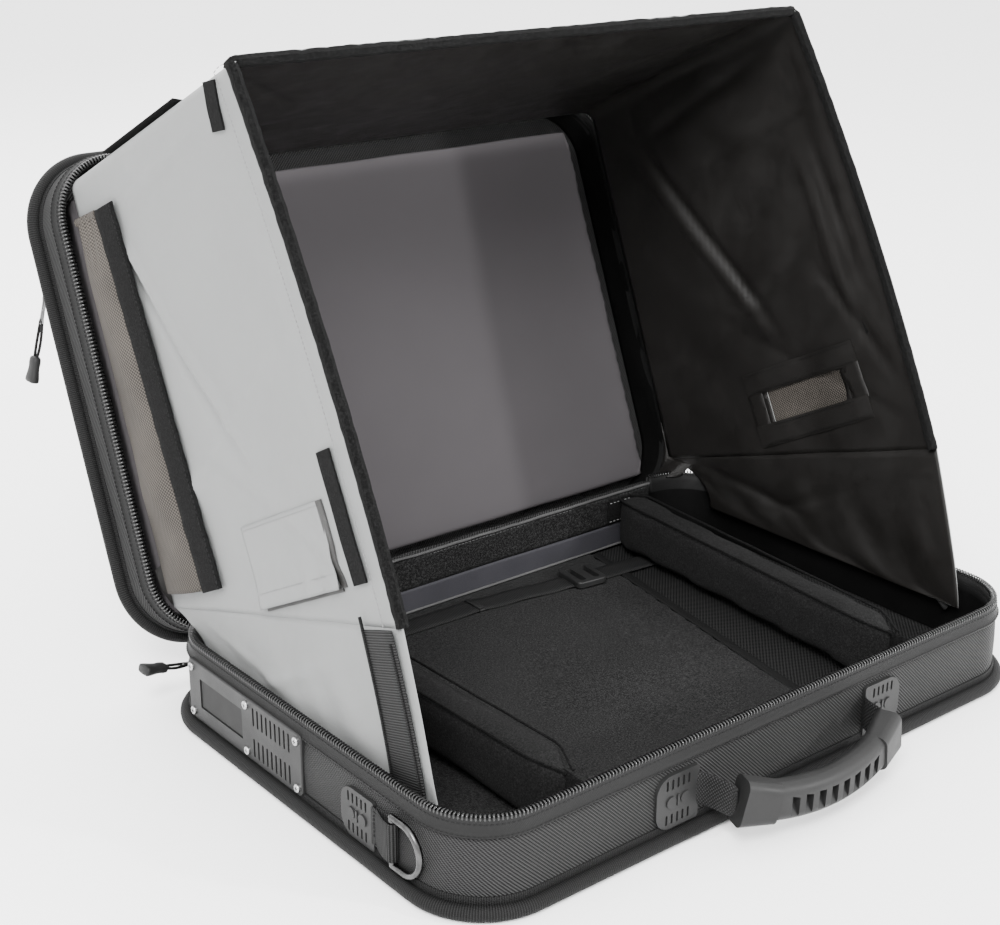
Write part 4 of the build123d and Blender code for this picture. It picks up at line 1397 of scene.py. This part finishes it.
def build_hood():
    rows, cloth = hood_rows()
    obj = thin_sheet("hood_cloth", rows, cloth, 0.8 * MM, ["hood_silver", "satin_black"], cut_ports)
    attach_folding(obj, "lid", "hood_silver", "hood_side_left", "hood_side_right", "hood_top")

    # the binding folded over its front edge
    edge = []
    for k in range(61):
        p = front_edge(k / 60 * 0.985)
        edge.append(Vector((-HOOD_X, p.x, p.y)))
    top = TOP_FRONT
    for k in range(1, 5):
        turn = math.pi / 2 * k / 5
        x = -HOOD_X + CORNER * (1 - math.cos(turn))
        edge.append(Vector((x, top.x, top.y - CORNER * 0.5 * (1 - math.sin(turn)))))
    half = HOOD_X - CORNER
    for k in range(81):
        x = -half + 2 * half * k / 80
        edge.append(Vector((x, top.x, top.y + 0.5 * MM * wave_noise(x * 24, 2.0))))
    edge += [Vector((-p.x, p.y, p.z)) for p in edge[64::-1]]
    wide = []
    for k, p in enumerate(edge):
        v = min(max((p.z - FOLD_FRONT.y) / (TOP_FRONT.y - FOLD_FRONT.y), 0.0), 1.0)
        back = FOLD_REAR.lerp(TOP_REAR, v) - Vector((p.y, p.z))
        back.normalize()
        wide.append(Vector((0, back.x, back.y)))
    for p, back in zip(edge, wide):
        p += back * 2.3 * MM
    steps = outward(edge, 1.8 * MM)
    inset = [p - out * (1 + 0.35 * wave_noise(k * 0.7)) for k, (p, out) in enumerate(zip(edge, steps))]
    part = Mesh().add(strap(inset, wide, 7.2 * MM, 6.0 * MM, edge=1.6 * MM, crown=0.3 * MM))
    inward = [p + back * 13 * MM + stand for p, back, stand in zip(edge, wide, outward(edge, 1.9 * MM))]

    def away(p):
        return Vector((p.x, 0, max(0.0, p.z - 0.38))).normalized()

    part.add(stitches(inward, away, 3.0 * MM, 2.0 * MM, 0.3 * MM), 1)
    obj = part.make("hood_binding_tape", "hook_black", "thread_grey")
    attach_folding(obj, "lid", "binding_black", "hood_binding")

    build_hood_hooks()
    build_ports()


def outward(path, by):
    """For points round the hood's edge, a step out of its cloth."""
    out = []
    normal = top_normal()
    for p in path:
        share = smooth_step(abs(p.x), HOOD_X - CORNER, HOOD_X)
        way = normal.lerp(Vector((math.copysign(1, p.x), 0, 0)), share).normalized()
        out.append(way * by)
    return out


def build_hood_hooks():
    part = Mesh()
    deep = (TOP_FRONT - TOP_REAR).length
    run = TOP_FRONT - TOP_REAR
    along = Vector((0, run.x, run.y)).normalized()
    f = deep - 16 * MM
    for x0, x1 in ((-42, 42), (-218, -182), (182, 218)):
        x0, x1 = max(x0 * MM, -HOOD_X + CORNER), min(x1 * MM, HOOD_X - CORNER)
        line = [on_top(x0 + (x1 - x0) * k / 12, f, 0.9 * MM) for k in range(13)]
        part.add(strap(line, along, 14 * MM, 1.2 * MM, edge=0.5 * MM))
    for sx in (-1, 1):
        line = [on_top(sx * 214 * MM, (48 + 102 * k / 16) * MM, 0.9 * MM) for k in range(17)]
        across = (along.cross(Vector((sx, 0, 0))) * 0.25 + Vector((1, 0, 0))).normalized()
        part.add(strap(line, across, 11 * MM, 1.2 * MM, edge=0.5 * MM))
        for (ay, az), (by, bz), width in (
            ((84.5, 410), (78, 383.5), 13.5),
            ((-18.5, 226.5), (-53.5, 160.5), 14.5),
        ):
            line = []
            for k in range(13):
                y, z = (ay + (by - ay) * k / 12) * MM, (az + (bz - az) * k / 12) * MM
                line.append(on_side(sx, y, z, 1.0 * MM))
            run2 = Vector((0, by - ay, bz - az)).normalized()
            part.add(strap(line, run2.cross(Vector((1, 0, 0))), width * MM, 1.2 * MM, edge=0.5 * MM))
    obj = part.make("hood_hooks", "hook_black")
    attach_folding(obj, "lid", "hook_black", "hood_hook_strips")


def build_ports():
    """The bound openings for cables, and the flap over each."""
    along, up = port_axes()
    tall = Vector((0, up.x, up.y))
    wide = Vector((0, along.x, along.y))
    for side, sx in SIDES:
        part = Mesh()
        for a, b, turn, length, width in (
            (0, 20, "wide", 112, 17),
            (0, -20, "wide", 112, 17),
            (-49, 0, "tall", 26, 15),
            (49, 0, "tall", 26, 15),
        ):
            line = []
            for k in range(13):
                s = (k / 12 - 0.5) * length
                c, d = (a + s, b) if turn == "wide" else (a, b + s)
                q = PORT + along * (c * MM) + up * (d * MM)
                line.append(on_side(sx, q.x, q.y, -1.7 * MM))
            part.add(strap(line, tall if turn == "wide" else wide, width * MM, 0.8 * MM))
        for b in (13.4, -13.4, 26.5, -26.5):
            line = []
            for k in range(25):
                q = PORT + along * ((k / 24 - 0.5) * 106 * MM) + up * (b * MM)
                line.append(on_side(sx, q.x, q.y, -2.3 * MM))
            part.add(stitches(line, Vector((-sx, 0, 0)), 3.0 * MM, 2.0 * MM, 0.28 * MM), 1)
        # the dark facing that shows past the flap's front edge, and a thin dark strip under its lower edge that
        # is painted shadow of the flap
        face, low = Vector((21 * MM, 150.5 * MM)), -25 * MM
        front = [face - along * (49.5 * MM) + up * ((25 - 50 * k / 12) * MM) for k in range(13)]
        # below: a 3 mm dark strip just under the flap's lower edge, painted shadow
        below = [face + along * ((-48 + 92 * k / 24) * MM) + up * (low - 0.6 * MM) for k in range(25)]
        part.add(strap([on_side(sx, q.x, q.y, 0.6 * MM) for q in front], wide, 7 * MM, 0.8 * MM))
        part.add(strap([on_side(sx, q.x, q.y, 0.6 * MM) for q in below], tall, 3 * MM, 0.8 * MM))
        obj = part.make(f"port_binding_{side}", "satin_black", "thread_black")
        attach_folding(obj, "lid", "satin_black", f"port_frame_{side}")

        centre = Vector((21 * MM, 150.5 * MM))
        w, h = 96 * MM, 50 * MM
        points, cloth = [], []
        n, m = 36, 20
        for i in range(n + 1):
            row, uv = [], []
            for j in range(m + 1):
                a, b = (i / n - 0.5) * w, (0.5 - j / m) * h
                q = centre + along * a + up * b
                curl = 3.2 * MM * (j / m) ** 3 * (1 + 0.5 * wave_noise(i * 0.2, 4.0, sx))
                row.append(on_side(sx, q.x, q.y, 1.0 * MM + curl))
                uv.append((a, b))
            points.append(row)
            cloth.append(uv)
        if sx > 0:
            points, cloth = points[::-1], cloth[::-1]
        flap = thin_sheet(f"cable_flap_{side}", points, cloth, 0.8 * MM, ["hood_silver", "gusset_taupe"])
        attach_folding(flap, f"flap_{side}", "hood_silver", f"port_flap_{side}")
        hems = Mesh()
        for b, length in ((h / 2 - 2.4 * MM, w), (-h / 2 + 9 * MM, w)):
            line = []
            for k in range(25):
                a = (k / 24 - 0.5) * (length - 4 * MM)
                q = centre + along * a + up * b
                j = 0.5 - b / h
                curl = 3.2 * MM * j**3
                line.append(on_side(sx, q.x, q.y, 1.2 * MM + curl))
            hems.add(stitches(line, Vector((sx, 0, 0)), 3.0 * MM, 2.0 * MM, 0.28 * MM))
        obj = hems.make(f"flap_stitches_{side}", "thread_grey")
        attach_folding(obj, f"flap_{side}", "hood_silver")


def build_skirts():
    """The hood's lower ends, which hang inside the base's walls, with their webbing bands."""
    low_z = 38 * MM
    bands = Mesh()
    for side, sx in SIDES:
        points, cloth = [], []
        n, m = 84, 36
        for i in range(n + 1):
            s = i / n
            top = FOLD_FRONT.lerp(FOLD_REAR, s)
            mid = Vector((-115 * MM + (131 + 115) * MM * s, 62.5 * MM))
            foot = Vector((-116 * MM + (120 + 116) * MM * s, low_z))
            row, uv = [], []
            for j in range(m + 1):
                t = j / m
                p = quadratic(top, mid.lerp(top.lerp(foot, 0.75), 0.3), foot, t)
                loose = smooth_step(t, 0.0, 0.35) * (1 - smooth_step(t, 0.8, 1.0))
                carried = side_relief(sx, p.x, p.y) * edge_hold(1 - s) * (1 - smooth_step(t, 0.5, 1.0))
                fold = 2.4 * MM * wave_noise(p.x * 17 + 2 * t, p.y * 7, sx * 4.0)
                fold += 1.3 * MM * wave_noise(p.x * 44 + 3 * t, p.y * 12, sx * 7.0)
                fold += ridge(p, (-70, 128), (60, 52), 4.5, 1.5) + ridge(p, (150, 74), (20, 60), 4.0, 1.2)
                row.append(Vector((sx * (HOOD_X + carried + fold * loose), p.x, p.y)))
                uv.append((0.25 * s, (top - p).length))
            points.append(row)
            cloth.append(uv)
        if sx > 0:
            points, cloth = points[::-1], cloth[::-1]
        obj = thin_sheet(f"skirt_{side}", points, cloth, 0.8 * MM, ["hood_silver", "satin_black"])
        attach(obj, "base", "hood_silver", f"hood_skirt_{side}")
        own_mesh(obj)

        line = []
        for k in range(26):
            t = k / 25
            p = quadratic(Vector((-66, 138)), Vector((-89.5, 68)), Vector((-93, 41)), t) * MM
            carried = side_relief(sx, p.x, p.y) * edge_hold(0.93) * (1 - smooth_step(t, 0.4, 1.0))
            line.append(Vector((sx * min(HOOD_X + 2.0 * MM + carried, 228.4 * MM), p.x, p.y)))
        bands.add(strap(line, Vector((0, 1, 0.2)), 31 * MM, 1.3 * MM, crown=0.25 * MM))
        for off in (-14.2, 14.2):
            edge = [p + Vector((sx * 0.9 * MM, off * MM, off * 0.2 * MM)) for p in line]
            bands.add(tube(edge, 1.0 * MM, 6), 1)
    obj = bands.make("skirt_webbing", "webbing_black", "binding_black")
    attach(obj, "base", "webbing_black", "skirt_bands")
    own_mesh(obj)


# ------------------------------------------------------------------ dividers
def build_dividers():
    for side, sx in SIDES:
        low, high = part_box(f"divider_{side}")
        inner = {"left": (138, 133), "right": (143, 120)}[side]
        base_z, top_z = low.z, high.z
        thick = 24 * MM
        part = Mesh()
        points, cloth = [], []
        n = 48
        for i in range(n + 1):
            t = i / n
            y = (-134 + 280 * t) * MM
            mid = sx * (inner[1] + (inner[0] - inner[1]) * t + 12.5) * MM
            pinch = min(smooth_step(t, -0.02, 0.09), 1 - smooth_step(t, 0.94, 1.02) * 0.75)
            half = thick / 2 * (0.16 + 0.84 * pinch)
            drop = 4 * MM * (1 - pinch)
            tall = top_z - 2 * MM - drop
            section = [
                (-half, base_z + 1.5 * MM),
                (-half * 1.0, base_z + (tall - base_z) * 0.35),
                (-half * 1.0, base_z + (tall - base_z) * 0.7),
                (-half, tall - 2.0 * MM),
                (-half * 0.9, tall - 0.4 * MM),
                (half * 0.9, tall - 0.4 * MM),
                (half, tall - 2.0 * MM),
                (half, base_z + (tall - base_z) * 0.7),
                (half, base_z + (tall - base_z) * 0.35),
                (half, base_z + 1.5 * MM),
                (0.0, base_z + 0.8 * MM),
            ]
            section.append(section[0])
            points.append([Vector((mid + x, y, z)) for x, z in section])
            cloth.append([(y, k * 8 * MM) for k in range(len(section))])
        part.add(grid(points, cloth))
        for end in (0, -1):
            cap = points[end][:-1]
            part.add((cap, [tuple(range(len(cap)))], cloth[end][:-1]))
        obj = part.make(f"divider_pad_{side}", "divider_black")
        weld(obj)
        swell(obj, 4 * MM, 1.6 * MM)
        for v in obj.data.vertices:
            v.co.x += 1.3 * MM * wave_noise(v.co.y * 20, v.co.z * 20, sx * 3.0)
            v.co.z = min(v.co.z, top_z + 1.5 * MM)
            v.co.z = max(v.co.z, base_z + 0.2 * MM)
        attach(obj, f"divider_bar_{side}", "divider_black", f"divider_{side}")

        # its hook tabs: a pinched tongue against the front wall, a folded grey-edged tab at the rear
        tabs = Mesh()
        for edge in (-1, 1):  # the welt along each top edge
            welt = []
            for k in range(57):
                t = k / 56
                pinch = min(smooth_step(t, -0.02, 0.09), 1 - smooth_step(t, 0.94, 1.02) * 0.75)
                mid = sx * (inner[1] + (inner[0] - inner[1]) * t + 12.5) * MM
                x = mid + edge * thick / 2 * (0.16 + 0.84 * pinch) * 0.97
                y = (-134 + 280 * t) * MM
                z = top_z - 2.6 * MM - 4 * MM * (1 - pinch)
                welt.append(Vector((x + 0.5 * MM * wave_noise(y * 40, edge), y, z)))
            tabs.add(tube(welt, 0.9 * MM, 7), 0)
        front_x = sx * (inner[1] + 12.5) * MM
        rear_x = sx * (inner[0] + 12.5) * MM
        wall_y = -INNER_Y + 1.6 * MM
        neck = ((-128 * MM, 43 * MM), (-140 * MM, 42 * MM), (wall_y + 1.4 * MM, 42 * MM))
        neck = [Vector((front_x, y, z)) for y, z in neck]
        tabs.add(strap(neck, Vector((0, 0, 1)), 22 * MM, 3.0 * MM, crown=0.4 * MM))
        line = []
        for k in range(11):
            y = wall_y + 0.3 * MM * wave_noise(k * 0.5, sx)
            line.append(Vector((front_x + (k / 10 - 0.5) * 32 * MM, y, 42 * MM)))
        tabs.add(strap(line, Vector((0, 0, 1)), 24 * MM, 1.3 * MM, crown=0.2 * MM))
        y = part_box(f"divider_tabs_{side}")[1].y - 1.3 * MM
        line = []
        for k in range(11):
            z = 45.5 * MM + 0.4 * MM * wave_noise(k * 0.6, sx, 3.0)
            line.append(Vector((rear_x - sx * 5 * MM + (k / 10 - 0.5) * 22 * MM, y, z)))
        tabs.add(strap(line, Vector((0, 0, 1)), 19 * MM, 1.7 * MM, crown=0.3 * MM))
        for off in (-7.6, 7.6):
            rows = [p + Vector((0, -1.1 * MM, off * MM)) for p in line]
            tabs.add(stitches(rows, Vector((0, -1, 0))), 1)
        obj = tabs.make(f"divider_hooks_{side}", "hook_black", "thread_grey")
        attach(obj, f"divider_bar_{side}", "hook_black", f"divider_tabs_{side}")


# ------------------------------------------------------------------ webbing, grip, rings, sliders and pulls
def build_webbing():
    for side, sx in SIDES:
        low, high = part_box(f"d_ring_{side}")
        bar_x = low.x + 2 * MM if sx > 0 else high.x - 2 * MM
        bar_y = high.y - 2 * MM
        mid_z = (low.z + high.z) / 2
        wall_x = sx * CASE_W / 2
        path = [
            Vector((wall_x + sx * 3.3 * MM, -77 * MM, mid_z)),
            Vector((wall_x + sx * 3.4 * MM, -82 * MM, mid_z)),
        ]
        path.append(Vector((bar_x + sx * 2.2 * MM, -91 * MM, mid_z)))
        for k in range(9):
            turn = math.pi * k / 8
            x = bar_x + sx * 2.9 * MM * math.cos(turn)
            path.append(Vector((x, bar_y - 2.9 * MM * math.sin(turn), mid_z)))
        path.append(Vector((wall_x + sx * 1.3 * MM, -90 * MM, mid_z)))
        path.append(Vector((wall_x + sx * 1.2 * MM, -79 * MM, mid_z)))
        part = Mesh().add(strap(path, Vector((0, 0, 1)), 24 * MM, 1.4 * MM, crown=0.15 * MM))
        box = [(-80, -10), (-89, -10), (-89, 10), (-80, 10), (-80, -10)]
        line = []
        for (ay, az), (by, bz) in zip(box, box[1:]):
            for k in range(5):
                y, z = ay + (by - ay) * k / 5, az + (bz - az) * k / 5
                off = 4.3 if y > -84 else 4.3 + (-84 - y) * 0.3
                line.append(Vector((wall_x + sx * off * MM, y * MM, mid_z + z * MM)))
        part.add(stitches(line, Vector((sx, 0, 0)), 2.4 * MM, 1.8 * MM, 0.35 * MM), 1)
        obj = part.make(f"ring_webbing_{side}", "webbing_black", "thread_black")
        attach(obj, "base", "webbing_black", f"dring_webbing_{side}")

        low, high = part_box(f"handle_webbing_{side}")
        mid_z = (low.z + high.z) / 2
        front_y = shell_low.y
        path = [
            Vector((sx * 76 * MM, front_y - 1.4 * MM, mid_z)),
            Vector((sx * 72.6 * MM, front_y - 1.9 * MM, mid_z)),
            Vector((sx * 70.2 * MM, front_y - 4.4 * MM, mid_z)),
            Vector((sx * 68.8 * MM, front_y - 9.2 * MM, mid_z)),
            Vector((sx * 68.0 * MM, front_y - 15 * MM, mid_z)),
            Vector((sx * 67.0 * MM, front_y - 21 * MM, mid_z - 0.4 * MM)),
            Vector((sx * 64.6 * MM, front_y - 27.5 * MM, mid_z - 0.8 * MM)),
        ]
        obj = Mesh().add(strap(path, Vector((0, 0, 1)), 22 * MM, 2.1 * MM, crown=0.2 * MM)).make(
            f"grip_webbing_{side}", "handle_web"
        )
        fine = obj.modifiers.new("fine", "SUBSURF")
        fine.levels = fine.render_levels = 1
        settle(obj)
        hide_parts(f"handle_webbing_{side}")
        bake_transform(obj)


def zip_pull(name, top, way, link_len, cord_len, body, node, slot="rubber_black"):
    """A zip pull hung along way: wire bail, flat link, cord loop and a moulded end."""
    way = Vector(way).normalized()
    side = Vector((0, 1, 0))
    side = (side - way * side.dot(way)).normalized()
    out = way.cross(side)
    part = Mesh()
    link_end = top + way * (0.5 * MM + link_len)
    # the flat link, pierced at both ends
    length = link_len / MM
    profile = [(2.6, 0), (3.0, 1.6), (2.0, 4.0), (1.7, length * 0.5)]
    profile += [(2.0, length - 4.0), (2.9, length - 1.4), (2.2, length)]
    if link_len < 12 * MM:
        profile = [(2.6, 0), (2.9, length * 0.35), (2.6, length * 0.7), (2.2, length)]
    for sign in (-1, 1):
        line = [top + way * ((0.5 + d) * MM) + side * (sign * (w - 0.6) * MM) for w, d in profile]
        part.add(tube(line, 0.75 * MM, 6), 1)
    for d, w in ((0.6, 2.4), (length * 0.5, 1.3), (length - 0.3, 2.4)):
        at = top + way * ((0.5 + d) * MM)
        part.add(tube([at - side * (w * MM), at, at + side * (w * MM)], 0.75 * MM, 6), 1)
    # the cord, doubled
    end_top = link_end + way * cord_len
    for sign in (-1, 1):
        line = []
        for k in range(11):
            t = k / 10
            spread = (1.6 + 1.5 * math.sin(math.pi * t) * (0.5 + 0.5 * t)) * MM
            p = link_end - way * 1.2 * MM + way * ((cord_len + 3.2 * MM) * t)
            line.append(p + side * (sign * spread) + out * (0.4 * MM * math.sin(3 * t)))
        part.add(tube(line, 1.05 * MM, 8), 2)
    knot = []
    for k in range(7):
        a = math.pi * k / 6
        p = link_end - way * 1.2 * MM + side * (1.7 * MM * math.cos(a))
        knot.append(p - way * (1.2 * MM * math.sin(a)))
    part.add(tube(knot, 1.05 * MM, 8), 2)
    # the moulded end, waisted, with a grip rib
    rows, cloth = [], []
    stations = [(0, 3.2, 2.1), (1.2, 4.3, 2.8), (4, 4.6, 3.0), (7, 4.5, 2.7)]
    stations += [(10, 4.9, 2.8), (14.5, 5.8, 3.3), (16.6, 5.9, 3.3), (17.4, 5.2, 2.6)]
    for d, a, b in stations:
        row, uv = [], []
        for k in range(17):
            turn = 2 * math.pi * k / 16
            c, s = math.cos(turn), math.sin(turn)
            c, s = math.copysign(abs(c) ** 0.6, c), math.copysign(abs(s) ** 0.6, s)
            row.append(end_top + way * (d * MM) + side * (a * MM * c) + out * (b * MM * s))
            uv.append((d * MM, turn * a * MM))
        rows.append(row)
        cloth.append(uv)
    part.add(grid(rows, cloth), 0)
    for end in (0, -1):
        part.add((rows[end][:-1], [tuple(range(16))], cloth[end][:-1]), 0)
    obj = part.make(name, slot, "slider_metal", "thread_black")
    weld(obj)
    return attach(obj, body, slot, node)


def build_pulls():
    for side, sx in SIDES:
        low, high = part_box(f"zip_pull_{side}")
        top = Vector((sx * 210.5 * MM, 168 * MM, 20 * MM))
        name, node = f"main_pull_{side}", f"zip_pull_{side}"
        zip_pull(name, top, (sx * 22, -2, 5), 8 * MM, 14 * MM, name, node)
        # a bail over the slider that the link hangs on
        low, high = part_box(f"zip_slider_{side}")
        mid = (low + high) / 2
        steps = ((-2.5, -0.6, 0.0), (0, 2.4, 0.6), (3, 3.7, 0.5), (4.9, 3.4, 0.5))
        bail = [Vector((mid.x + sx * x * MM, high.y + y * MM, mid.z + z * MM)) for x, y, z in steps]
        # the end of the zip, which runs down the corner behind the slider
        turn = math.radians(71)
        away = Vector((sx * math.cos(turn), math.sin(turn), 0))
        foot = Vector((sx * (CASE_W / 2 - CORNER_R), REAR - CORNER_R, 14.5 * MM))
        foot += away * (CORNER_R + 0.9 * MM)
        tail = [foot + Vector((0, 0, 25 * MM * k / 8)) for k in range(9)]
        level = away.cross(Vector((0, 0, 1)))
        end = Mesh().add(strap(tail, level, 12.4 * MM, 1.1 * MM))
        for k in range(11):
            at = foot + away * (1.0 * MM) + Vector((0, 0, (1.5 + 2.2 * k) * MM))
            wire = [at - level * 2.2 * MM, at + away * 0.5 * MM, at + level * 2.2 * MM]
            end.add(tube(wire, 0.7 * MM, 6), 1)
        obj = end.make(f"zip_end_{side}", "zip_tape_black", "zip_coil_black")
        attach(obj, "base", "zip_tape_black")
        obj = Mesh().add(tube(bail, 0.8 * MM, 7)).make(f"slider_bail_{side}", "slider_metal")
        attach(obj, "base", "slider_metal")
    y, z = lid_yz(239 * MM, -50.5 * MM)
    top = Vector((-235.5 * MM, y, z))
    zip_pull("back_pocket_pull", top, (-16, 0, -60), 19 * MM, 22 * MM, "pull_on_pocket", "pocket_pull")
    low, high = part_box("pocket_slider")
    mid = (low + high) / 2
    out = -LID_OUT
    bail = []
    for k in range(9):
        turn = math.pi * k / 8
        p = mid + LID_UP * (4.8 * MM * math.cos(turn)) + out * ((1.2 + 4.2 * math.sin(turn)) * MM)
        bail.append(p + Vector((-2.6 * MM * math.sin(turn), 0, 0)))
    obj = Mesh().add(tube(bail, 0.8 * MM, 7)).make("pocket_bail", "slider_metal")
    attach(obj, "slider_on_pocket", "slider_metal")


# ------------------------------------------------------------------ CAD nodes that keep their shape
KEPT = {
    "id_plate": "plastic_black",
    "id_card": "card_dark",
    "id_plate_screws": "screw_steel",
    "dring_plate_left": "plastic_black",
    "dring_plate_right": "plastic_black",
    "handle_plate_left": "plastic_black",
    "handle_plate_right": "plastic_black",
    "d_ring_left": "ring_steel",
    "d_ring_right": "ring_steel",
    "strap_buckle": "plastic_black",
    "zip_slider_left": "slider_metal",
    "zip_slider_right": "slider_metal",
    "pocket_slider": "slider_metal",
    "handle_grip": "rubber_black",
}


def dress_nodes():
    for node, look in KEPT.items():
        obj = frame["nodes"][node]
        if not obj.material_slots:
            obj.data.materials.append(LOOK[look])
        for slot in obj.material_slots:
            slot.material = LOOK[look]


build_base()
build_floor()
build_rear()
build_lid()
build_gussets()
build_hood()
build_skirts()
build_dividers()
build_webbing()
build_pulls()
dress_nodes()
